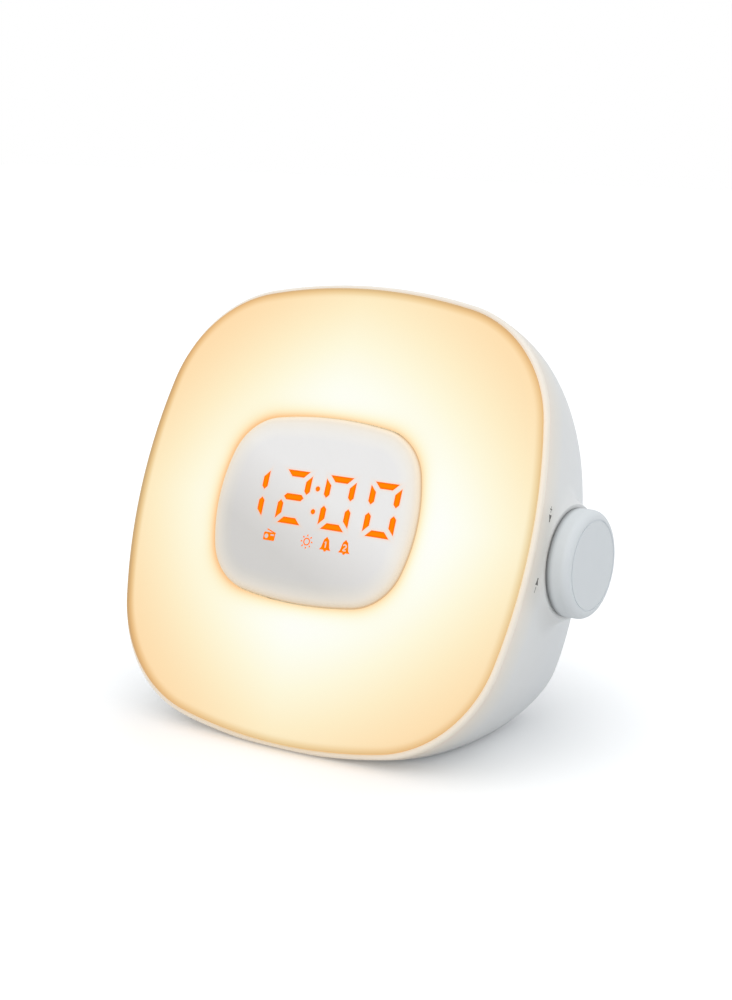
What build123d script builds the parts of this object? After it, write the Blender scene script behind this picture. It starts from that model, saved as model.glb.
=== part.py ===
from build123d import *
import os
from math import cos, sin, tan, radians, sqrt

os.makedirs("parts", exist_ok=True)

# A bedside sunrise alarm clock: a softly square lamp face that leans back on a bowl-shaped
# housing, with a clock display in its middle and a volume knob on its right side.
# Millimetres. +Z is up, the face looks towards -Y, and the origin lies on the table under
# the middle of the base.

# ---- Driving dimensions: face ----
face_lean = 22.0            # degrees between the face and upright
face_forward = 12.5         # middle of the face in front of the middle of the base
face_half = 87.0            # half size of the diffuser where it leaves the bezel
face_side_arc = 220.0       # radius of its four gentle sides
face_corner_arc = 49.0      # radius of its four corners

# ---- Driving dimensions: housing ----
rim_width = 1.85            # visible width of the bezel around the diffuser
rim_round = 1.2             # rounding of the bezel's front edge
bezel_depth = 3.0           # visible depth of the bezel
seam_gap = 0.15             # parting line between bezel and housing
body_depth = 80.0           # from the rim plane to the flat rear wall
side_taper = 18.3           # how far each side has drawn in at the rear
side_power = 1.13
rear_round = 10.0           # extra rounding of the rear edge
rear_power = 10.0
rear_corner = 0.7           # how much tighter the corners have become at the rear
top_drop = 83.0             # how far the top has come down at the rear
top_power = 2.25
bottom_rise = 33.0          # how far the bottom has come up at the rear
bottom_power = 1.66
section_count = 8           # sections through the bowl
wall = 2.2
foot_height = 1.0           # gap between table and base
rim_cut = 0.38              # how far the base plane cuts into the rim's lowest edge
floor_thickness = 2.4

# ---- Driving dimensions: bezel inside ----
diffuser_gap = 0.15         # around the diffuser in the bezel
ledge_depth = 1.5           # the ledge that the diffuser stands on, below the rim plane
skirt_inset = 2.4           # outer face of the bezel's skirt inside the face outline
skirt_depth = 10.0          # rear edge of the skirt
skirt_wall = 1.8
floor_gap = 0.2             # between the floor and what hangs above it
bezel_boss_radius = 2.6
bezel_boss_inset = 5.5      # boss centre inside the face outline

# ---- Driving dimensions: diffuser and display ----
diffuser_peak = 8.1         # height of the dome over the rim plane
dome_radius = 1150.0
diffuser_shoulder = 4.0     # rounding of the diffuser's edge
diffuser_wall = 2.0
display_half_width = 44.5
display_half_height = 35.2
display_side_arc = 63.3
display_cap_arc = 158.4
display_corner_arc = 21.6
display_peak = 9.2          # front of the display lens over the rim plane
display_seat = 4.0          # rear edge of the display lens
display_round = 1.8         # rounding of its edge
display_skin = 2.0          # thickness of the lens in front of the digits
display_wall = 2.4
window_depth = 1.2          # how deep the light windows lie in the lens
display_gap = 0.35          # groove between lens and diffuser

# ---- Driving dimensions: digits ----
digit_height = 20.3
digit_width = 13.1
digit_stroke = 2.4
digit_split = 1.5           # how far a segment stays back from a corner
digit_pitch = 19.52
digit_middle = 3.6          # middle of the digits above the middle of the face
first_digit = -28.7         # middle of the first digit
colon_place = 0.65
colon_rise = 4.33           # half the distance between the colon's dots
colon_radius = 1.0
icon_row = -12.05           # middle of the row of icons
radio_icon = -16.5
sun_icon = 0.65
bell_icons = (9.2, 17.55)

# ---- Driving dimensions: icons ----
radio_width = 5.2
radio_height = 3.1
radio_corner = 0.5
radio_sink = 0.26           # middle of the radio's case under the middle of the row
radio_speaker = 0.85
radio_window_width = 1.6
radio_window_height = 0.55
aerial_length = 4.3
aerial_width = 0.45
aerial_turn = -18.0
sun_radius = 1.45
sun_stroke = 0.42
ray_reach = 2.3             # middle of a ray from the middle of the sun
ray_length = 0.65
ray_width = 0.5
ray_count = 8
bell_half = 1.25            # half width of the bell at its shoulder
bell_top = 2.45
bell_shoulder = 1.3
bell_crown = 0.4            # radius of the knob on its top
bell_swell = 0.55           # how much wider it is at its waist
bell_waist = -1.1           # where the bell begins to flare
bell_flare = 2.5            # half width of its foot
bell_foot = -2.0
clapper_radius = 0.6

# ---- Driving dimensions: display inside ----
module_gap = 0.1            # between the lens and the display module
module_inset = 5.0          # module's edge inside the lens outline
module_depth = 7.0
board_thickness = 1.6
shroud_inset = 0.5          # shroud wall inside the lens outline
shroud_wall = 2.0
shroud_ledge = 2.0
shroud_ledge_depth = 1.5
fit_gap = 0.3               # between a board and the wall around it
ribbon_width = 20.0
ribbon_thickness = 0.4
ribbon_drop = -20.0
ribbon_slot = 1.2

# ---- Driving dimensions: lamp ----
reflector_sheet = 1.6
reflector_flange = 2.7      # flange edge inside the face outline
reflector_mouth = 9.0       # mouth of the well inside the face outline
reflector_floor_inset = 20.0
reflector_depth = 20.0      # floor of the well behind the rim plane
light_board_inset = 24.0
light_board_hole = 2.0      # clearance around the display shroud
led_inset = 30.0
led_count = 32
led_size = 5.0
led_height = 1.6

# ---- Driving dimensions: volume knob ----
knob_depth = 35.0           # knob axis behind the rim plane
seat_inset = 2.05           # flat that the knob turns on, inside the rim's widest point
knob_radius = 20.1
knob_length = 8.8
knob_round = 3.2
knob_groove = 0.3           # depth of the fine groove round its face
knob_groove_width = 0.6
knob_gap = 0.4
knob_wall = 2.3
knob_skin = 2.5
hub_gap = 0.2               # between the bushing's end and the knob's hub
boss_edge = 1.2             # flat of the boss outside the knob
boss_slope = 60.0           # degrees between the boss's flank and its flat
boss_drop = 20.0            # how far under its flat the boss's cone starts
boss_blend = 8.0            # rounding between the boss and the bowl
room_per_blend = 2.9        # bowl needed behind the boss for each millimetre of that rounding
boss_wall = 2.5
boss_pocket = 15.0          # radius of the room behind the boss
shaft_radius = 3.0
shaft_flat = 1.5            # depth of the shaft's flat
shaft_end = 7.2             # shaft tip over the knob's seat
shaft_root = 2.0            # length of the shaft inside the encoder
shaft_fit = 0.02            # around the shaft in the knob
running_gap = 0.05
bushing_radius = 3.5
bushing_length = 3.0        # thread that stands out of the boss
nut_size = 5.6              # across corners, half
nut_height = 2.0
encoder_width = 12.5
encoder_height = 13.0
encoder_depth = 7.0
hub_radius = 6.0

# ---- Driving dimensions: keys on top ----
key_depth = 32.0            # row of keys behind the rim plane
key_places = (-44.5, -31.0, 31.0, 44.5)
key_names = ("alarm_one", "alarm_two", "light", "radio")
key_radius = 4.2
snooze_length = 40.0
snooze_width = 10.0
key_gap = 0.25
key_rise = 0.8              # keys stand out of the top by this
key_travel = 0.6
key_lip = 1.0               # flange that keeps a key in
key_lip_thickness = 1.0
lip_gap = 0.6               # between a key's flange and the wall over it
short_stem = 0.6            # stem of the outermost keys over their plungers
switch_height = 5.0
switch_size = 6.0
plunger_radius = 1.7
plunger_rise = 0.8          # plunger over its switch
plunger_root = 0.6          # plunger inside its switch
key_board_margin = 2.8      # board past its screws
key_board_width = 14.0
key_post_gap = 1.1          # between the outermost flange and the post beside it
key_post_radius = 2.4

# ---- Driving dimensions: main board ----
main_board_level = 29.0     # front of the board behind the rim plane
main_board_width = 96.0
main_board_height = 72.0
main_board_drop = -2.0
standoff_x = 43.0
standoff_y = 31.0
standoff_radius = 3.2
capacitor_radius = 4.0
capacitor_height = 10.0
capacitor_places = ((-30, 16), (-19, 16))
chip_height = 1.8
clock_chip = 14.0           # square
clock_chip_place = (8, 8)
radio_chip = (9.0, 6.0)
radio_chip_places = ((-22, -8), (-22, -22))
block_height = 5.0          # coil, crystal and plug sockets
coil_block = (10.0, 10.0)
coil_place = (28, 18)
crystal_block = (10.0, 4.0)
crystal_place = (26, -4)
plug_block = (12.0, 6.0)
plug_places = ((32, -22), (12, -26))

# ---- Driving dimensions: screws ----
thread_gap = 0.03           # between a screw's thread and its hole
pass_gap = 0.25             # between a screw and a hole that it passes through
small_screw = 1.0
small_head = 1.9
small_head_height = 1.2
small_length = 6.5
speaker_screw_length = 4.6
large_screw = 1.5
large_head = 2.8
large_head_height = 2.0
large_length = 11.0
post_x = 56.0
post_y = 38.0
post_radius = 4.5
post_depth = 40.0           # where the reflector's posts meet the housing's wells
well_seat = 2.5             # what the screw head clamps
well_gap = 0.4

# ---- Driving dimensions: speaker ----
speaker_rise = 30.0         # speaker's middle over the floor, at the rear wall
speaker_radius = 19.5       # opening of its basket
speaker_standoff = 2.0      # room for the gasket
speaker_flange = 1.5
speaker_boss_ring = 26.0    # its screws from its axis
speaker_boss_radius = 2.6
basket_wall = 1.2
basket_depth = 14.0
gasket_width = 3.0
magnet_radius = 14.0
magnet_depth = 8.0
cone_thickness = 0.8
cone_depth = 7.5
coil_radius = 6.0
surround_width = 2.5
grille_hole = 1.2
grille_pitch = 4.6
grille_rings = 4

# ---- Driving dimensions: power socket ----
socket_x = -31.0
socket_rise = 7.6           # socket's middle over the floor, at the rear face
socket_radius = 5.5
socket_flange = 7.0
socket_flange_height = 0.8
socket_depth = 13.0
socket_bore = 2.75
socket_bore_depth = 10.0
pin_radius = 1.05
pin_recess = 1.0

# ---- Driving dimensions: backup cell and foot ----
cell_radius = 10.0
cell_height = 3.2
cell_y = 4.0                # cup's middle on the base
door_radius = 13.0
door_gap = 0.15
door_recess = 0.2           # door's face inside the floor's face
lug_reach = 2.0
lug_width = 6.0
lug_height = 1.2
lug_gap = 0.1               # over and under the door's lugs
door_turn = 45.0            # degrees from locked to open
cup_gap = 0.5               # around the lugs
cup_wall = 1.8
cup_roof = 1.5
cell_gap = 0.2              # around the cell
cell_collar = 1.6
contact_thickness = 0.4
contact_width = 6.0
coin_slot_length = 18.0
coin_slot_width = 2.0
coin_slot_depth = 1.2
foot_half_length = 45.0     # oval ring of rubber that the clock stands on
foot_half_width = 27.0
foot_width = 4.0            # width of the ring
foot_pocket = 0.5           # how deep the ring sits in the floor
foot_round = 0.4

# ---- Reference planes ----
rim_half = face_half + rim_width
face_height = rim_half * cos(radians(face_lean)) + foot_height - rim_cut
floor_top = foot_height + floor_thickness
face_normal = Vector(0, -cos(radians(face_lean)), sin(radians(face_lean)))
face_centre = Vector(0, -face_forward, face_height)
face_plane = Plane(origin=face_centre, x_dir=(1, 0, 0), z_dir=face_normal)
face_axis = Axis(face_centre, face_normal)
face_up = face_plane.y_dir


def behind(depth):
    """Plane parallel to the face, this far behind the rim plane."""
    return face_plane.offset(-depth)


def face_point(x, y, depth):
    """World point from face coordinates."""
    return face_centre + Vector(x, 0, 0) + face_up * y - face_normal * depth


def up_from_floor(rise, depth):
    """Face coordinate of a point this far over the floor's top, at a depth behind the rim."""
    sink = depth * sin(radians(face_lean))
    return (floor_top + rise - face_height + sink) / cos(radians(face_lean))


def upward(x, y, depth):
    """Plane at a face point whose normal runs up along the face."""
    return Plane(origin=face_point(x, y, depth), x_dir=(1, 0, 0), z_dir=face_up)


def from_table(height):
    return Plane.XY.offset(height)


# ---- Outlines ----
def soft_corner(half_width, half_height, side_arc, cap_arc, corner_arc, grow):
    """Ends and middle of the corner arc that touches a side arc and a cap arc."""
    side_centre = Vector(half_width - side_arc, 0)
    cap_centre = Vector(0, half_height - cap_arc)
    side_reach = side_arc - corner_arc
    cap_reach = cap_arc - corner_arc
    gap = cap_centre - side_centre
    along = (gap.length**2 + side_reach**2 - cap_reach**2) / (2 * gap.length)
    across = sqrt(side_reach**2 - along**2)
    unit = gap.normalized()
    corner_centre = side_centre + unit * along + Vector(-unit.Y, unit.X) * across
    to_side = (corner_centre - side_centre).normalized()
    to_cap = (corner_centre - cap_centre).normalized()
    side_end = side_centre + to_side * (side_arc + grow)
    middle = corner_centre + (to_side + to_cap).normalized() * (corner_arc + grow)
    cap_end = cap_centre + to_cap * (cap_arc + grow)
    return side_end, middle, cap_end


def soft_outline(plane, sizes, grow=0.0, middle=0.0):
    """Closed outline of eight tangent arcs, grown outwards, with its middle moved up."""
    half_width, half_height = sizes[0], sizes[1]
    side_end, corner, cap_end = soft_corner(*sizes, grow)

    def spot(point, right, up):
        return (right * point.X, middle + up * point.Y)

    with BuildSketch(plane) as sheet:
        with BuildLine():
            for right, up in ((1, 1), (-1, 1), (-1, -1), (1, -1)):
                ends = (spot(side_end, right, up), spot(cap_end, right, up))
                ThreePointArc(ends[0], spot(corner, right, up), ends[1])
            for way in (1, -1):
                side = Vector(half_width + grow, 0)
                ThreePointArc(spot(side_end, way, -1), spot(side, way, 1), spot(side_end, way, 1))
                cap = Vector(0, half_height + grow)
                ThreePointArc(spot(cap_end, -1, way), spot(cap, 1, way), spot(cap_end, 1, way))
        make_face()
    return sheet.sketch


def arcs_of(half_width, half_height, tightening=1.0):
    """Sizes of an outline shaped like the face's, at another width and height."""
    smaller = min(half_width, half_height)
    side_arc = face_side_arc * half_height / face_half
    cap_arc = face_side_arc * half_width / face_half
    corner_arc = face_corner_arc * smaller / face_half * tightening
    return half_width, half_height, side_arc, cap_arc, corner_arc


face_sizes = (face_half, face_half, face_side_arc, face_side_arc, face_corner_arc)
display_sizes = (
    display_half_width,
    display_half_height,
    display_side_arc,
    display_cap_arc,
    display_corner_arc,
)


def face_outline(depth, grow):
    return soft_outline(behind(depth), face_sizes, grow)


def display_outline(depth, grow):
    return soft_outline(behind(depth), display_sizes, grow)


# ---- The bowl ----
def inset(share, reach, power):
    """Superellipse quarter: nothing at the rim, the whole reach at the rear wall."""
    return reach * (1 - (1 - share**power) ** (1 / power))


def bowl_edges(share):
    """Half width, top and bottom of the bowl at a share of its depth."""
    half = rim_half - inset(share, side_taper, side_power) - inset(share, rear_round, rear_power)
    top = rim_half - inset(share, top_drop, top_power)
    bottom = -rim_half + inset(share, bottom_rise, bottom_power)
    return half, top, bottom


def bowl_section(share, depth, grow):
    """Outline of the bowl at a share of its depth."""
    half, top, bottom = bowl_edges(share)
    sizes = arcs_of(half, (top - bottom) / 2, 1 - (1 - rear_corner) * share)
    return soft_outline(behind(depth), sizes, grow, (top + bottom) / 2)


def bowl(depth, grow):
    """Solid bowl from the rim plane to this depth, grown outwards."""
    turns = [90 * step / (section_count - 1) for step in range(section_count)]
    shares = [sin(radians(turn)) for turn in turns]
    with BuildPart() as solid:
        loft([bowl_section(share, share * depth, grow) for share in shares])
    return solid.part


with BuildPart() as whole_bowl:
    add(bowl(body_depth, 0))
    fillet(whole_bowl.faces().sort_by(face_axis)[-1].edges(), radius=rim_round)
    split(bisect_by=from_table(foot_height), keep=Keep.TOP)

with BuildPart() as bowl_room:
    add(bowl(body_depth - wall, -wall))
    split(bisect_by=from_table(floor_top), keep=Keep.TOP)


inner_room = bowl_room.part
above_floor = from_table(floor_top + floor_gap)


def finish(solid, name):
    """Label a finished piece and write it."""
    solid.part.label = name
    export_step(solid.part, f"parts/{name}.step")


# ---- The knob's place on the housing's right side ----
knob_seat = rim_half - seat_inset


def knob_plane(height):
    """Plane across the knob's axis, this far over the knob's seat."""
    origin = face_point(0, 0, knob_depth) + Vector(knob_seat + height, 0, 0)
    return Plane(origin=origin, x_dir=(0, 1, 0), z_dir=(1, 0, 0))


# ---- The key row ----
keys = [("snooze", 0.0)] + list(zip(key_names, key_places))


def lip_level(name, x):
    """Top of a key's flange over the middle of the face: a gap under the lowest wall above it."""
    flange = key_radius + key_lip
    side = snooze_length / 2 + key_lip if name == "snooze" else abs(x) + flange
    reach = snooze_width / 2 + key_lip if name == "snooze" else flange
    share = (key_depth + reach) / body_depth
    half, top, bottom = bowl_edges(share)
    cap_arc = face_side_arc * half / face_half
    return top - cap_arc + sqrt(cap_arc**2 - side**2) - wall - lip_gap


lip_levels = {name: lip_level(name, x) for name, x in keys}
plunger_top = min(lip_levels.values()) - key_lip_thickness - short_stem
switch_level = plunger_top - plunger_rise
key_board_level = switch_level - switch_height
key_post = key_places[-1] + key_radius + key_lip + key_post_gap + key_post_radius


def key_plane(x, level):
    """Plane across a key's travel, this far over the middle of the face."""
    return upward(x, level, key_depth)


def key_outline(x, level, name, grow):
    """Pill for the snooze key, circle for the others."""
    with BuildSketch(key_plane(x, level)) as sheet:
        if name == "snooze":
            SlotOverall(snooze_length + 2 * grow, snooze_width + 2 * grow)
        else:
            Circle(key_radius + grow)
    return sheet.sketch


# ---- Places that repeat ----
def pairs(x, y, middle=0.0):
    """Four places, mirrored left and right and up and down."""
    return [(right * x, middle + up * y) for right in (-1, 1) for up in (-1, 1)]


rear_wall = body_depth - wall
speaker_drop = up_from_floor(speaker_rise, rear_wall)
socket_spot = [(socket_x, up_from_floor(socket_rise, body_depth))]
board_holes = pairs(standoff_x, standoff_y, main_board_drop)
post_places = pairs(post_x, post_y)
bezel_corner = soft_corner(*face_sizes, -bezel_boss_inset)[1]
bezel_bosses = pairs(bezel_corner.X, bezel_corner.Y)
ear = speaker_boss_ring / sqrt(2)
speaker_ears = pairs(ear, ear, speaker_drop)
key_posts = [(-key_post, 0), (key_post, 0)]
speaker_seat = rear_wall - speaker_standoff
pilot = small_screw + thread_gap


def rods(plane, places, radius, length):
    """Equal rods that start on a plane and run along its normal."""
    with BuildPart() as group:
        with BuildSketch(plane):
            with Locations(*places):
                Circle(radius)
        extrude(amount=length)
    return group.part


def screws(plane, places, shank, length, head, head_height):
    """Screws whose heads' undersides lie on a plane, with their shanks along its normal."""
    with BuildPart() as group:
        add(rods(plane, places, shank, length))
        add(rods(plane, places, head, -head_height))
        with BuildSketch(plane.offset(-head_height)):
            with Locations(*places):
                Rectangle(head * 1.3, head * 0.3)
        extrude(amount=head_height / 2, mode=Mode.SUBTRACT)
    return group


def small_screws(plane, places):
    return screws(plane, places, small_screw, small_length, small_head, small_head_height)


def foot_outline(grow):
    """Oval ring on the table around the battery door, wider by a gap on both edges."""
    with BuildSketch(from_table(0)) as sheet:
        Ellipse(foot_half_length + grow, foot_half_width + grow)
        inner = foot_width + grow
        Ellipse(foot_half_length - inner, foot_half_width - inner, mode=Mode.SUBTRACT)
    return sheet.sketch


# ---- Rear housing: the bowl, the knob's boss, wells, posts and openings ----
with BuildPart() as boss_cone:
    with BuildSketch(knob_plane(-boss_drop)):
        Circle(knob_radius + boss_edge + boss_drop / tan(radians(boss_slope)))
    with BuildSketch(knob_plane(0)):
        Circle(knob_radius + boss_edge)
    loft()

with BuildPart() as outer_shape:
    add(whole_bowl.part)
    add(boss_cone.part)
    flank = outer_shape.faces().filter_by(GeomType.CONE)
    boss_room = body_depth - knob_depth - knob_radius - boss_edge
    blend = min(boss_blend, boss_room / room_per_blend)
    fillet(flank.edges().filter_by(GeomType.BSPLINE), radius=blend)

with BuildPart() as inner_posts:
    add(rods(behind(post_depth + thread_gap), post_places, post_radius, -body_depth))
    add(rods(key_plane(0, key_board_level), key_posts, key_post_radius, rim_half))
    add(rods(behind(speaker_seat), speaker_ears, speaker_boss_radius, -speaker_standoff - wall / 2))
    add(whole_bowl.part, mode=Mode.INTERSECT)

with BuildPart() as rear_housing:
    add(outer_shape.part)
    split(bisect_by=behind(bezel_depth + seam_gap), keep=Keep.BOTTOM)
    add(inner_room, mode=Mode.SUBTRACT)
    add(rods(knob_plane(-boss_wall), [(0, 0)], boss_pocket, -boss_drop), mode=Mode.SUBTRACT)
    add(inner_posts.part)
    # Hole for the encoder's bushing
    bushing_hole = bushing_radius + running_gap
    add(rods(knob_plane(0), [(0, 0)], bushing_hole, -boss_wall - wall), mode=Mode.SUBTRACT)
    # Deep wells for the housing screws, open to the rear
    add(rods(behind(post_depth), post_places, large_screw + pass_gap, -body_depth), mode=Mode.SUBTRACT)
    well = large_head + well_gap
    add(rods(behind(post_depth + well_seat), post_places, well, -body_depth), mode=Mode.SUBTRACT)
    # Pilot holes for the key board's and the speaker's screws
    speaker_hole = speaker_screw_length - speaker_flange + thread_gap
    add(rods(key_plane(0, key_board_level), key_posts, pilot, small_length), mode=Mode.SUBTRACT)
    add(rods(behind(speaker_seat), speaker_ears, pilot, -speaker_hole), mode=Mode.SUBTRACT)
    for name, x in keys:
        opening = key_outline(x, lip_levels[name], name, key_gap)
        extrude(opening, amount=rim_half, mode=Mode.SUBTRACT)
    # Speaker grille
    with BuildSketch(behind(rear_wall - wall)):
        with Locations((0, speaker_drop)):
            Circle(grille_hole)
            for ring in range(1, grille_rings + 1):
                with PolarLocations(ring * grille_pitch, 6 * ring):
                    Circle(grille_hole)
    extrude(amount=-3 * wall, mode=Mode.SUBTRACT)
    # Hole for the power socket
    socket_hole = socket_radius + thread_gap
    add(rods(behind(rear_wall - wall), socket_spot, socket_hole, -3 * wall), mode=Mode.SUBTRACT)
    # Battery opening, with a notch for each lug where the door lifts out
    with BuildSketch(from_table(0)):
        with Locations((0, cell_y)):
            Circle(door_radius + door_gap)
            with PolarLocations((door_radius + lug_reach) / 2, 3, start_angle=door_turn):
                Rectangle(door_radius + lug_reach + 2 * door_gap, lug_width + 2 * door_gap)
    extrude(amount=floor_top, mode=Mode.SUBTRACT)
    # Groove for the foot ring
    extrude(foot_outline(thread_gap), amount=foot_height + foot_pocket, mode=Mode.SUBTRACT)
finish(rear_housing, "rear_housing")

# ---- Front bezel: rim, ledge for the diffuser, skirt and screw bosses ----
with BuildPart() as bezel_inside:
    extrude(face_outline(ledge_depth, -skirt_inset), amount=ledge_depth - skirt_depth)
    extrude(face_outline(0, -skirt_inset - skirt_wall), amount=-skirt_depth, mode=Mode.SUBTRACT)
    add(rods(behind(ledge_depth), bezel_bosses, bezel_boss_radius, ledge_depth - skirt_depth))
    split(bisect_by=above_floor, keep=Keep.TOP)

with BuildPart() as front_bezel:
    add(whole_bowl.part)
    split(bisect_by=behind(bezel_depth), keep=Keep.TOP)
    extrude(face_outline(0, -skirt_inset - skirt_wall), amount=-bezel_depth, mode=Mode.SUBTRACT)
    extrude(face_outline(0, diffuser_gap), amount=-ledge_depth, mode=Mode.SUBTRACT)
    add(bezel_inside.part)
    thread_length = small_length - reflector_sheet
    add(rods(behind(skirt_depth), bezel_bosses, pilot, thread_length), mode=Mode.SUBTRACT)
finish(front_bezel, "front_bezel")


# ---- Diffuser and display lens: domed pieces with rounded edges ----
def domed(sizes, grow, seat, peak, dome, rounding):
    """Outline raised from its seat to a dome, both over the rim plane, with a rounded edge."""
    with BuildPart() as block:
        extrude(soft_outline(face_plane.offset(seat), sizes, grow), amount=peak - seat + rounding)
        with Locations(face_plane.offset(peak - dome)):
            Sphere(dome, rotation=(90, 0, 0), mode=Mode.INTERSECT)
        fillet(block.faces().sort_by(face_axis)[-1].edges(), radius=rounding)
    return block.part


with BuildPart() as diffuser_panel:
    inner_peak = diffuser_peak - diffuser_wall
    inner_dome = dome_radius - diffuser_wall
    inner_round = diffuser_shoulder - diffuser_wall
    add(domed(face_sizes, 0, -ledge_depth, diffuser_peak, dome_radius, diffuser_shoulder))
    lamp_room = domed(face_sizes, -diffuser_wall, -ledge_depth, inner_peak, inner_dome, inner_round)
    add(lamp_room, mode=Mode.SUBTRACT)
    extrude(display_outline(0, display_gap), amount=2 * diffuser_peak, mode=Mode.SUBTRACT)
finish(diffuser_panel, "diffuser_panel")


# ---- Light windows in the lens: digits, colon and icons ----
def segment_points(name):
    """Corners of one segment about the middle of its digit."""
    right = digit_width / 2
    top = digit_height / 2
    half = digit_stroke / 2
    reach = right - digit_split
    if name in ("top", "bottom"):
        way = 1 if name == "top" else -1
        outer, inner = way * top, way * (top - digit_stroke)
        short = reach - digit_stroke
        return [(-reach, outer), (reach, outer), (short, inner), (-short, inner)]
    if name == "middle":
        tip = reach - half / 2
        flat = tip - half
        return [(-tip, 0), (-flat, half), (flat, half), (tip, 0), (flat, -half), (-flat, -half)]
    side = right if name.endswith("right") else -right
    way = 1 if name.startswith("upper") else -1
    inner = side - digit_stroke if side > 0 else side + digit_stroke
    return [
        (side, way * (top - digit_split)),
        (side, way * (digit_split + half)),
        ((side + inner) / 2, way * digit_split),
        (inner, way * (digit_split + half)),
        (inner, way * (top - digit_split - digit_stroke)),
    ]


zero = ("top", "upper_right", "lower_right", "bottom", "lower_left", "upper_left")
one = ("upper_right", "lower_right")
two = ("top", "upper_right", "middle", "lower_left", "bottom")
window_back = face_plane.offset(display_peak - window_depth)

with BuildPart() as lens_blank:
    add(domed(display_sizes, 0, display_seat, display_peak, dome_radius, display_round))

with BuildPart() as digit_segments:
    with BuildSketch(window_back):
        for place, digit in enumerate((one, two, zero, zero)):
            with Locations((first_digit + place * digit_pitch, digit_middle)):
                for name in digit:
                    Polygon(*segment_points(name), align=None)
    extrude(amount=2 * window_depth)
    add(lens_blank.part, mode=Mode.INTERSECT)
finish(digit_segments, "digit_segments")

with BuildPart() as colon_dots:
    with BuildSketch(window_back):
        for way in (-1, 1):
            with Locations((colon_place, digit_middle + way * colon_rise)):
                Circle(colon_radius)
    extrude(amount=2 * window_depth)
    add(lens_blank.part, mode=Mode.INTERSECT)
finish(colon_dots, "colon_dots")


def bell_face():
    """Bell with a crown, a flared foot and a clapper, about its own middle."""
    waist = bell_half + bell_swell
    left, right = (-bell_half, bell_shoulder), (bell_half, bell_shoulder)
    with BuildSketch() as sheet:
        with BuildLine():
            ThreePointArc(left, (0, bell_top), right)
            Polyline(right, (waist, bell_waist), (bell_flare, bell_foot), (-bell_flare, bell_foot))
            Polyline((-bell_flare, bell_foot), (-waist, bell_waist), left)
        make_face()
        with Locations((0, bell_foot)):
            Circle(clapper_radius)
        with Locations((0, bell_top)):
            Circle(bell_crown)
    return sheet.sketch


with BuildPart() as status_icons:
    with BuildSketch(window_back):
        # A radio: case with a round speaker and a window, and a slanted aerial
        with Locations((radio_icon, icon_row - radio_sink)):
            RectangleRounded(radio_width, radio_height, radio_corner)
            with Locations((-radio_width / 4, 0)):
                Circle(radio_speaker, mode=Mode.SUBTRACT)
            with Locations((radio_width / 4, radio_height / 5)):
                Rectangle(radio_window_width, radio_window_height, mode=Mode.SUBTRACT)
            with Locations((radio_width / 8, radio_height / 2 + aerial_width)):
                Rectangle(aerial_length, aerial_width, rotation=aerial_turn)
        # A sun: ring and rays
        with Locations((sun_icon, icon_row)):
            Circle(sun_radius)
            Circle(sun_radius - sun_stroke, mode=Mode.SUBTRACT)
            with PolarLocations(ray_reach, ray_count):
                Rectangle(ray_length, ray_width)
        # Two alarm bells
        with Locations(*[(bell, icon_row) for bell in bell_icons]):
            add(bell_face())
    extrude(amount=2 * window_depth)
    add(lens_blank.part, mode=Mode.INTERSECT)
finish(status_icons, "status_icons")

with BuildPart() as display_lens:
    add(lens_blank.part)
    hollow_depth = display_peak - display_skin - display_seat
    extrude(display_outline(-display_seat, -display_wall), amount=hollow_depth, mode=Mode.SUBTRACT)
    add([digit_segments.part, colon_dots.part, status_icons.part], mode=Mode.SUBTRACT)
finish(display_lens, "display_lens")

# ---- Display module, its board, the light-tight shroud and the flat cable ----
module_back = display_peak - display_skin - module_gap - module_depth
board_back = module_back - board_thickness
board_inset = shroud_inset + shroud_wall + fit_gap

with BuildPart() as display_module:
    extrude(display_outline(-module_back, -module_inset), amount=module_depth)
finish(display_module, "display_module")

with BuildPart() as display_board:
    extrude(display_outline(-board_back, -board_inset), amount=board_thickness)
finish(display_board, "display_board")

with BuildPart() as display_shroud:
    shroud_height = display_seat + reflector_depth
    inside = shroud_inset + shroud_wall
    extrude(display_outline(-display_seat, -shroud_inset), amount=-shroud_height)
    extrude(display_outline(-display_seat, -inside), amount=-shroud_height, mode=Mode.SUBTRACT)
    extrude(display_outline(-board_back, -inside + running_gap), amount=-shroud_ledge_depth)
    ledge_edge = inside + shroud_ledge
    extrude(display_outline(-board_back, -ledge_edge), amount=-shroud_ledge_depth, mode=Mode.SUBTRACT)
finish(display_shroud, "display_shroud")

with BuildPart() as display_ribbon:
    with BuildSketch(face_plane.offset(board_back)):
        with Locations((0, ribbon_drop)):
            Rectangle(ribbon_width, ribbon_thickness)
    extrude(amount=-board_back - main_board_level)
finish(display_ribbon, "display_ribbon")

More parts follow.
